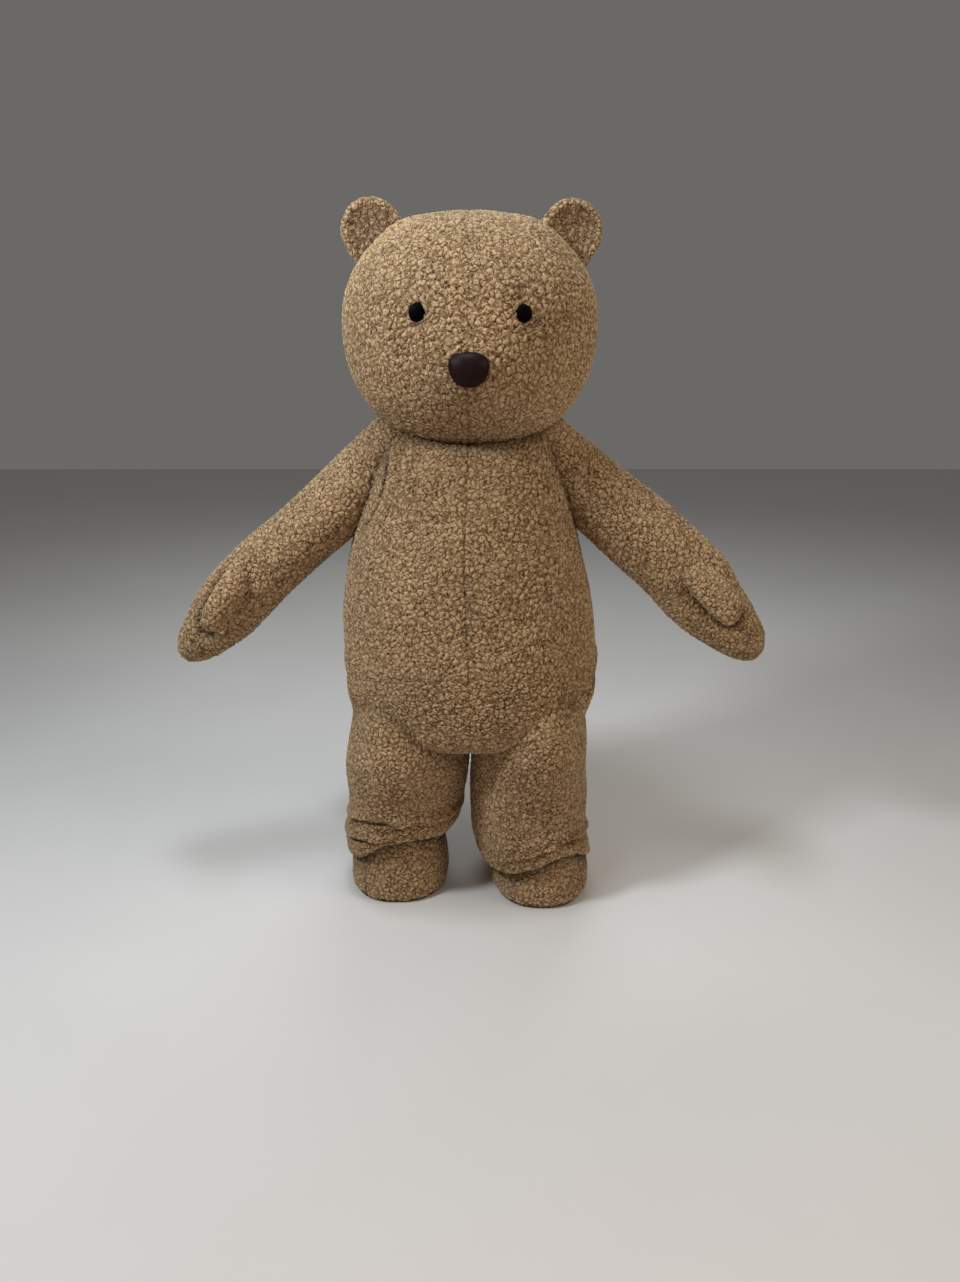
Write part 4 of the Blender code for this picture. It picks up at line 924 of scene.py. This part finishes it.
def thumb_edge(grid, side):
    """How far points are from the thumb, seen from the front, and 1 where its edge stands free."""
    flat = np.array([1.0, 0.0, 1.0])
    _, heading, rise = arm_frame(side)
    line = (thumb_line(side) + rise * THUMB_FREE[side] * THUMB_SHOWN_SHIFT[side]) * flat
    out, rising = THUMB_EDGE_DRIFT
    line = line + np.linspace(0.0, 1.0, len(line))[:, None] * np.array([SIDES[side] * out, 0.0, rising])
    apart, offset, along = nearest_on_line(grid.points * flat, line)
    way = offset / np.maximum(apart, 1e-9)[..., None]
    beside = ramp(way @ rise * THUMB_FREE[side], -0.1, 0.5) * ramp(along, 0.05, 0.45)
    free = np.maximum(beside, ramp(way @ heading, 0.25, 0.8)) * ramp(-grid.points[..., 1], 0.0, 0.03)
    return apart, free


def shape_arm(grid, side):
    sew_tube(grid, ARM_LAPS[side])
    apart, free = thumb_edge(grid, side)
    beyond = np.maximum(apart - THUMB_EDGE[side], 0.0)
    # painted shadow of the thumb on the mitten, beside its free edge and below its tip
    dark = 0.95 * free * bell(beyond, THUMB_SHADOW[side])
    grid.press(THUMB_PRESS * free * bell(beyond, THUMB_PRESS_WIDTH), dark)


def crease_shade(grid):
    """How much painted shade lies where the belly meets the legs: 1 from the wearer's right hip to the
    fork, less beyond.
    """
    return 1.0 - 0.85 * ramp(grid.points[..., 0], 0.03, 0.12)


def shape_leg(grid, side):
    sew_tube(grid, LEG_LAPS[side])
    x, _, z = np.moveaxis(grid.points, 2, 0)
    across, height, reach = FORK_REACH
    grid.press(-FORK_SWELL * bell(x, across) * bell(z - up(height), reach))
    grid.swell(*THIGH_SWELL)
    hem = grid.points[-HEM_TURN_ROWS]
    apart, _, _ = nearest_on_line(grid.points, np.concatenate([hem[::8], hem[:1]]))
    rows = np.arange(grid.rows)[:, None]
    grid.press(-HEM_ROLL * bell(apart, HEM_ROLL_WIDTH) * (rows > grid.rows // 2))
    past_hem = rows - grid.rows + HEM_TURN_ROWS
    # painted shade on the turned-in rows inside the hem
    grid.darken(0.9 * ramp(past_hem, -2.0, HEM_TURN_ROWS - 4.0))


def shape_foot(grid, side):
    seam(grid, int(round(FOOT_SEAM_SHARE[side] * grid.around)), 0.003, 0.005, 0.7)
    lowest = LEGS[side]["height"][-1]
    below = up(lowest + hem_lift(side, lowest, even_angles(grid.around))) - grid.points[..., 2]
    # painted shadow of the hem on the foot below it
    grid.darken(0.95 * bell(np.maximum(below - HEM_SHADE_TOP, 0.0), HEM_SHADE_WIDTH))


# ---------------- materials
def blank_material(name):
    material = bpy.data.materials.new(name)
    material.use_nodes = True
    material.node_tree.nodes.clear()
    return material, material.node_tree


def bumps(tree, height, strength, distance):
    inputs = {"Height": height, "Strength": strength, "Distance": distance}
    return node(tree, "ShaderNodeBump", inputs).outputs[0]


def with_skin(material, inputs):
    skin = node(material.node_tree, "ShaderNodeBsdfPrincipled", inputs)
    node(material.node_tree, "ShaderNodeOutputMaterial", {"Surface": skin.outputs[0]})
    return material


def colour_ramp(tree, value, stops):
    made = node(tree, "ShaderNodeValToRGB", {"Fac": value})
    made.color_ramp.interpolation = "EASE"
    points = made.color_ramp.elements
    for point, (place, colour) in zip(points, (stops[0], stops[-1])):
        point.position, point.color = place, (*colour, 1.0)
    for place, colour in stops[1:-1]:
        points.new(place).color = (*colour, 1.0)
    return made.outputs["Color"]


def fleece_material(name, stops):
    """Curly pile: its colour runs from painted shade in the valleys between the nubs to the lighter colour
    of their tips.
    """
    material, tree = blank_material(name)
    rest = node(tree, "ShaderNodeAttribute", attribute_name="rest").outputs["Vector"]
    # fold carries the painted shade from the grids, which darkens the colour down to FOLD_SHADE
    fold = node(tree, "ShaderNodeAttribute", attribute_name="fold").outputs["Fac"]
    height = pile_height(tree, rest)
    patch = noise_node(tree, rest, PATCH_SIZE, detail=3.0).outputs[0]
    tone = mapped(tree, patch, *NOISE_SPAN, *PATCH_TONE)
    shaded = mapped(tree, fold, 0.0, 1.0, 1.0, FOLD_SHADE)
    dyed = vector_node(tree, "SCALE", {
        0: colour_ramp(tree, height, stops), "Scale": math_node(tree, "MULTIPLY", tone, shaded)})
    return with_skin(material, {
        "Base Color": dyed, "Roughness": 0.92, "Specular IOR Level": 0.18, "Sheen Weight": 0.15,
        "Sheen Roughness": 0.40, "Sheen Tint": (0.95, 0.82, 0.62, 1.0),
        "Normal": bumps(tree, height, 0.85, 0.004)})


def plain_material(name, colour, roughness, metallic=0.0, vary=0.15, size=0.016, bump=0.0, grain=0.0033,
                   specular=0.5):
    """A moulded, woven or metal finish with a little unevenness in its colour and gloss."""
    material, tree = blank_material(name)
    place = node(tree, "ShaderNodeTexCoord").outputs["Object"]
    cloudy = noise_node(tree, place, size, detail=4.0).outputs[0]
    tone = mapped(tree, cloudy, *NOISE_SPAN, 1.0 - vary, 1.0 + vary)
    dyed = vector_node(tree, "SCALE", {0: colour, "Scale": tone})
    gloss = mapped(tree, cloudy, *NOISE_SPAN, 0.85 * roughness, min(1.0, 1.15 * roughness))
    skin = {"Base Color": dyed, "Roughness": gloss, "Metallic": metallic, "Specular IOR Level": specular}
    if bump:
        skin["Normal"] = bumps(tree, noise_node(tree, place, grain).outputs[0], bump, 0.001)
    return with_skin(material, skin)


# painted shade: the lowest stops of these ramps colour the valleys between the nubs
FLEECE = fleece_material("tan_fleece", (
    (0.05, (0.058, 0.028, 0.011)), (0.34, (0.224, 0.135, 0.062)), (0.86, (0.510, 0.358, 0.204))))
# a darker copy of the tan fleece: painted shade on the inner face of each ear
SHADED_FLEECE = fleece_material("ear_fleece_painted_shade", (
    (0.08, (0.050, 0.026, 0.011)), (0.38, (0.190, 0.118, 0.058)), (0.92, (0.430, 0.305, 0.182))))
EYE_GLOSS = plain_material("eye_gloss", (0.0008, 0.0006, 0.0006), 0.60, vary=0.1, specular=0.03)
NOSE_SATIN = plain_material(
    "nose_satin", (0.0108, 0.0028, 0.0034), 0.50, vary=0.22, bump=0.25, grain=0.0011, specular=0.11)
SOLE_RUBBER = plain_material("sole_rubber", (0.028, 0.025, 0.023), 0.75, vary=0.25, bump=0.3)
TAPE_WEAVE = plain_material(
    "tape_weave", (0.125, 0.080, 0.045), 0.85, vary=0.2, size=0.0025, bump=0.5, grain=0.0008)
ZIP_METAL = plain_material("zip_metal", (0.42, 0.33, 0.20), 0.32, metallic=0.95, vary=0.25, bump=0.1)
TOOTH_PLASTIC = plain_material("tooth_plastic", (0.150, 0.096, 0.054), 0.42, vary=0.15)


# ---------------- pieces of fleece
def make_panels(grid, names, held="draped", rests_on=()):
    """Panels of one grid: each CAD node's name with its first and last column."""
    for name, (first, last) in names.items():
        panel = Panel(grid, first, last)
        if name.startswith("body_back"):
            open_for_zip(panel)
        obj = fleece_mesh(f"{name}_fleece", panel, FLEECE)
        mount(obj, "fleece", name)


def open_for_zip(panel):
    """Hold the two back panels apart by the zip's gap, above its foot."""
    x, y, z = panel.points.T
    beside = 1.0 - ramp(np.abs(x), 0.0, 0.03)
    above = ramp(z, up(ZIP_FOOT_HEIGHT) - 0.012, up(ZIP_FOOT_HEIGHT))
    way = 1.0 if x.mean() > 0.0 else -1.0
    panel.points[:, 0] += way * ZIP_GAP_HALF * beside * above * (y > 0.0)


def make_quarters(grid, names, **kept):
    """Four panels of the head or the body, from its front round by the wearer's left."""
    marks = quarters(grid)
    make_panels(grid, {name: marks[number:number + 2] for number, name in enumerate(names)}, **kept)


def make_tube(grid, name):
    """The front and back panels of an arm or a leg."""
    quarter = grid.around // 4
    make_panels(grid, {f"{name}_front": (-quarter, quarter), f"{name}_back": (quarter, 3 * quarter)})


def make_ring(grid, name):
    """A thumb or a foot, in one piece."""
    make_panels(grid, {name: (0, grid.around)})


def make_cloth():
    """Every form of fleece: shaped, set against its neighbours, and cut into its panels."""
    head, body = head_grid(), body_grid()
    zip_column = quarters(body)[2]
    zip_line = body.points[:, zip_column].copy(), body.normals[:, zip_column].copy()
    shape_head(head)
    shape_body(body)
    arms, thumbs, legs, feet = ({side: form(side) for side in SIDES}
                                for form in (arm_grid, thumb_grid, leg_grid, foot_grid))
    for side in SIDES:
        shape_arm(arms[side], side)
        shape_leg(legs[side], side)
        shape_foot(feet[side], side)
    meet(head, [body], shade=0.0)
    # painted shadow of the head on the chest, below the chin
    meet(body, [head], shade=0.9, width=0.030)
    for form in (head, body):
        form.inside = np.minimum(form.inside, 0.0)
    # painted shade where the arms and legs run into the body
    meet(body, arms.values())
    meet(body, legs.values(), shade=0.4 * crease_shade(body), width=0.008)
    for side in SIDES:
        arm, thumb, leg, foot = arms[side], thumbs[side], legs[side], feet[side]
        # painted shade where the arm runs under the body and head
        meet(arm, [body, head])
        apart, free = thumb_edge(arm, side)
        by_body = arm.inside
        # painted shadow of the thumb on the mitten where it stands free
        meet(arm, [thumb], shade=0.8 * free, width=0.008)
        by_thumb = (apart < THUMB_EDGE[side] + THUMB_COVER) & (arm.points[..., 1] < -THUMB_ROOT_DEPTH)
        arm.inside = np.where(by_thumb, arm.inside, by_body)
        # painted shade on the thumb's free edge
        meet(thumb, [arm], shade=0.5 * thumb_edge(thumb, side)[1])
        # painted shade where the leg runs under the belly
        meet(leg, [body], shade=0.5 * crease_shade(leg), width=0.010)
        meet(foot, [leg], shade=0.0)
        make_tube(arm, f"arm_{side}")
        make_ring(thumb, f"thumb_{side}")
        make_tube(leg, f"leg_{side}")
        make_ring(foot, f"foot_{side}")
    make_quarters(head, ("face_left", "head_back_left", "head_back_right", "face_right"),
                  held="stretched", rests_on=["body_front_left", "body_front_right"])
    make_quarters(body, ("body_front_left", "body_back_left", "body_back_right", "body_front_right"))
    return zip_line, head


# ---------------- ears
EAR_STAND = 0.034   # depth in front of the ear's middle plane at 1 in its profile
EAR_PROFILE = (   # share of the outline, height to the front
    (0.00, -1.00), (0.30, -0.955), (0.60, -0.80), (0.80, -0.60), (0.93, -0.36), (0.99, -0.14), (1.00, 0.02),
    (0.99, 0.20), (0.95, 0.36), (0.90, 0.44), (0.85, 0.46), (0.80, 0.43), (0.76, 0.39),
)
EAR_DISH = ((0.00, 0.20), (0.25, 0.205), (0.45, 0.22), (0.60, 0.27), (0.70, 0.34), (0.765, 0.388))
EAR_FLARE = 0.20   # how much wider the ear grows towards its root
EAR_ROOT_REACH, EAR_ROOT_POWER = 0.105, 3.2   # the lower half of its outline, inside the head


def ear_axes(side):
    sign = SIDES[side]
    axis = np.array([math.sin(EAR_LEAN) * sign, 0.0, math.cos(EAR_LEAN)])
    facing = np.array([math.sin(EAR_TURN) * sign, -math.cos(EAR_TURN), 0.0])
    facing = unit(facing - axis * facing.dot(axis))
    return axis, facing, np.cross(axis, facing)


def ear_grid(side, profile):
    """Rings of one face of an ear, from its middle out to its edge and over the rim."""
    axis, facing, sideways = ear_axes(side)
    x, y, height = EAR_CENTRES[side]
    centre = np.array([x, y, up(height)])
    angles = angles_for(EAR_GIRTH)
    power = np.where(np.cos(angles) > 0.0, 2.0, EAR_ROOT_POWER)
    across, rise = oval(angles, EAR_RADIUS, EAR_RADIUS, EAR_ROOT_REACH, power)
    across *= 1.0 + EAR_FLARE * np.clip(-np.cos(angles), 0.0, 1.0)
    keys = []
    for share, stand in profile:
        out = stand * (EAR_BACK if stand < 0.0 else EAR_STAND)
        keys.append(centre + share * (across[:, None] * sideways + rise[:, None] * axis) + out * facing)
    return dense(keys, EAR_ROWS, first_pole=True)


def make_ears(head):
    for side in SIDES:
        # the front, inner face of each ear wears the fleece with painted shade
        for face, profile, material in (("back", EAR_PROFILE, FLEECE), ("front", EAR_DISH, SHADED_FLEECE)):
            grid = ear_grid(side, profile)
            meet(grid, [head], shade=0.0)
            panel = Panel(grid, 0, grid.around)
            name = f"ear_{side}_{face}"
            obj = fleece_mesh(f"{name}_fleece", panel, material, EAR_NUB_HEIGHT)
            mount(obj, "fleece" if face == "back" else "fleece_dark", name)


# ---------------- face
def front_at(x, height):
    """Y of the head's front at a place, without its folds."""
    z = height - HEAD_CENTRE_HEIGHT
    span, power = HEAD_TOP if z > 0.0 else HEAD_BASE
    reach = (1.0 - (z / span) ** power) ** (1.0 / power)
    side = abs(x - HEAD_SHIFT) / (reach * HEAD_HALF_WIDTH)
    y = -reach * HEAD_FRONT * (1.0 - side**HEAD_PLAN_POWER) ** (1.0 / HEAD_PLAN_POWER)
    return y - muzzle(x, up(height))


def ring_faces(rings, sides):
    """Triangles of closed rings of points, one after another, with a last point at each end."""
    step = np.arange(sides)
    onward = (step + 1) % sides
    faces = []
    for ring in range(rings - 1):
        a, b = ring * sides, (ring + 1) * sides
        faces += [np.stack([a + step, b + step, b + onward], axis=1),
                  np.stack([a + step, b + onward, a + onward], axis=1)]
    first, last, end = rings * sides, rings * sides + 1, (rings - 1) * sides
    faces.append(np.stack([np.full(sides, first), step, onward], axis=1))
    faces.append(np.stack([np.full(sides, last), end + onward, end + step], axis=1))
    return np.concatenate(faces)


BUTTON_RINGS, BUTTON_SIDES = 39, 72


def pebble(name, centre, half, taper, power, material):
    """A smooth rounded button whose front view is a superellipse, narrower towards its foot."""
    points = []
    for turn in np.linspace(0.0, math.pi, BUTTON_RINGS + 2)[1:-1]:
        x, z = oval(even_angles(BUTTON_SIDES), math.sin(turn), math.sin(turn), math.sin(turn), power)
        points.append(np.stack([x, np.full(BUTTON_SIDES, -math.cos(turn)), z], axis=1))
    points = np.concatenate(points + [np.array([[0.0, -1.0, 0.0], [0.0, 1.0, 0.0]])])
    points[:, 0] *= 1.0 + taper * points[:, 2]
    points = points * np.array(half) + np.array(centre)
    return new_mesh(name, points, ring_faces(BUTTON_RINGS, BUTTON_SIDES), material)


def make_face():
    for side, (x, height) in zip(SIDES, EYE_SHOWN):
        centre = (x, front_at(x, height) + EYE_SHOWN_SINK, up(height))
        mount(pebble(f"eye_{side}_button", centre, EYE_SHOWN_HALF, 0.0, 2.0, EYE_GLOSS),
              "eye_black", f"eye_{side}")
    centre = (HEAD_SHIFT, front_at(HEAD_SHIFT, NOSE_HEIGHT) + NOSE_SINK, up(NOSE_HEIGHT))
    nose = pebble("nose_pad", centre, NOSE_HALF, NOSE_SHOWN_TAPER, 2.25, NOSE_SATIN)
    mount(nose, "nose_brown", "nose")


# ---------------- soles and zip
SOLE_PROFILE = ((0.060, 0.0), (0.012, 0.0), (0.005, 0.0), (0.0022, 0.0006), (0.0006, 0.0020),
                (0.0, 0.0036), (0.0006, 0.0052), (0.0030, 0.0060), (0.060, 0.0060))   # inset, height
SOLE_SIDES = 180


def make_soles():
    angles = even_angles(SOLE_SIDES)
    for side in SIDES:
        edge = foot_ring(side, FEET[side]["height"][0], angles)
        middle = edge.mean(axis=0)
        outward = unit((edge - middle) * np.array([1.0, 1.0, 0.0]))
        rings = []
        for inset, height in SOLE_PROFILE:
            ring = edge - outward * inset
            ring[:, 2] = up(height)
            rings.append(ring)
        ends = [[(middle[0], middle[1], up(0.0))], [(middle[0], middle[1], up(SOLE_THICKNESS))]]
        faces = ring_faces(len(rings), SOLE_SIDES)
        sole = new_mesh(f"sole_{side}_grip", np.concatenate(rings + ends), faces[:, ::-1], SOLE_RUBBER)
        mount(sole, "sole_grip", f"sole_{side}")


TOOTH_OFFSET = 0.0009   # every other tooth to one side of the middle
TOOTH_HALF = (0.0021, 0.00105)   # across and along the zip
TOOTH_LEVELS = ((0.0042, 1.0), (0.0016, 1.0), (0.0007, 0.62))   # depth below the cloth, share of the size


def zip_path(zip_line, spacing):
    """Even places along the centre back from the neck to the zip's foot, with their normals."""
    points, normals = zip_line
    start = int(round(NECK_RINGS * (len(points) - 1) / BODY_KEYS))
    stop = np.flatnonzero(points[:, 2] >= up(ZIP_FOOT_HEIGHT))[-1] + 1
    points, normals = points[start:stop], normals[start:stop]
    length = running(steps(points))
    at = np.arange(0.0, length[-1], spacing)
    read = [np.stack([np.interp(at, length, values[:, k]) for k in range(3)], axis=1)
            for values in (points, normals)]
    return read[0], read[1], length[-1]


def make_zip(zip_line):
    """The woven tape behind the back panels, and the two rows of teeth that close in their gap."""
    points, normals, length = zip_path(zip_line, 0.004)
    across = np.linspace(-ZIP_TAPE_HALF, ZIP_TAPE_HALF, ZIP_TAPE_THREADS)
    ribbed = WALL + ZIP_TAPE_SET_BACK + 0.0003 * (np.arange(ZIP_TAPE_THREADS) % 2)
    sheet = points[:, None] + across[:, None] * SIDEWAYS - normals[:, None] * ribbed[:, None]
    sheet = sheet.reshape(-1, 3)
    ids = np.arange(len(sheet)).reshape(len(points), ZIP_TAPE_THREADS)
    a, b, c, d = (part.ravel() for part in (ids[:-1, :-1], ids[1:, :-1], ids[1:, 1:], ids[:-1, 1:]))
    faces = np.concatenate([np.stack([a, b, c], 1), np.stack([a, c, d], 1)])
    tape = new_mesh("back_zip_tape", sheet, faces, TAPE_WEAVE)
    mount(tape, "zip_tape", "back_zip")

    points, normals, _ = zip_path(zip_line, ZIP_PITCH)
    down = unit(np.gradient(points, axis=0))
    corners, faces = [], []
    brick = ring_faces(len(TOOTH_LEVELS), 4)
    for number, (point, normal, along) in enumerate(zip(points, normals, down)):
        middle = point + SIDEWAYS * (TOOTH_OFFSET if number % 2 else -TOOTH_OFFSET)
        faces.append(brick + len(corners))
        for depth, share in TOOTH_LEVELS:
            for wide, tall in SQUARE * share:
                corners.append(middle + SIDEWAYS * (TOOTH_HALF[0] * wide) + along * TOOTH_HALF[1] * tall
                               - normal * depth)
        corners.append(middle - normal * TOOTH_LEVELS[0][0])
        corners.append(middle - normal * (TOOTH_LEVELS[-1][0] - 0.0002))
    teeth = new_mesh("back_zip_teeth", np.array(corners), np.concatenate(faces), TOOTH_PLASTIC)
    mount(teeth, "zip_tape")


# ---------------- light, floor, camera
FLOOR_HALF = 9.0
LIGHTS = (   # name, place, target, size, power, colour
    ("lamp", (-0.25, -0.50, 2.07), (0.0, 0.0, 0.0), (0.5, 0.5), 23.0, (0.92, 0.98, 1.08)),
    ("key", (-1.80, -1.30, 1.50), (0.0, 0.0, 0.1), (0.45, 0.45), 60.0, (0.96, 1.0, 1.04)),
    ("fill", (2.2, -1.15, 1.0), (0.0, 0.0, 0.1), (1.2, 1.2), 27.0, (1.0, 0.88, 0.72)),
    ("bounce", (0.1, -2.4, -0.5), (0.0, 0.0, -0.35), (2.0, 0.6), 7.0, (1.0, 0.56, 0.28)),   # off the floor
    ("rim", (0.4, 3.0, 2.8), (0.0, 0.0, 0.1), (2.4, 1.2), 40.0, (0.97, 0.99, 1.0)),
)
CAMERA_PLACE = (0.0269, -2.29, 0.202)
CAMERA_TILT = math.radians(18.33)   # down from level
CAMERA_LENS, CAMERA_SENSOR = 25.05, 36.0   # mm


def make_stage():
    corners = np.column_stack([FLOOR_HALF * SQUARE, np.full(4, up(0.0))])
    finish = plain_material("studio_floor", (0.66, 0.66, 0.65), 0.55, vary=0.02, size=1.0)
    floor = new_mesh("studio_floor", corners, np.array([(0, 1, 2), (0, 2, 3)]), finish)


def make_studio():
    for name, place, target, size, power, colour in LIGHTS:
        light = bpy.data.lights.new(name, "AREA")
        light.shape, light.size, light.size_y = "RECTANGLE", *size
        light.energy, light.color = power, colour
        obj = add_object(name, light)
        obj.location = place
        obj.rotation_euler = (Vector(target) - Vector(place)).to_track_quat("-Z", "Y").to_euler()
        obj.visible_camera = False
    world = bpy.data.worlds.new("studio")
    bpy.context.scene.world = world
    world.use_nodes = True
    sky = world.node_tree.nodes["Background"]
    sky.inputs["Color"].default_value = (0.86, 0.83, 0.79, 1.0)
    sky.inputs["Strength"].default_value = 0.17
    bpy.context.scene.view_settings.view_transform = "Standard"


def make_camera():
    data = bpy.data.cameras.new("photo_view")
    data.sensor_width, data.lens = CAMERA_SENSOR, CAMERA_LENS
    camera = add_object("photo_view", data)
    camera.location = CAMERA_PLACE
    camera.rotation_euler = (math.radians(90.0) - CAMERA_TILT, 0.0, 0.0)
    bpy.context.scene.camera = camera


def dress_metal():
    for name in ("zip_slider", "zip_pull"):
        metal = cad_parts[name]
        metal.data.materials.clear()
        metal.data.materials.append(ZIP_METAL)


make_camera()
make_stage()
make_studio()
zip_line, head_form = make_cloth()
make_ears(head_form)
make_face()
make_soles()
make_zip(zip_line)
dress_metal()
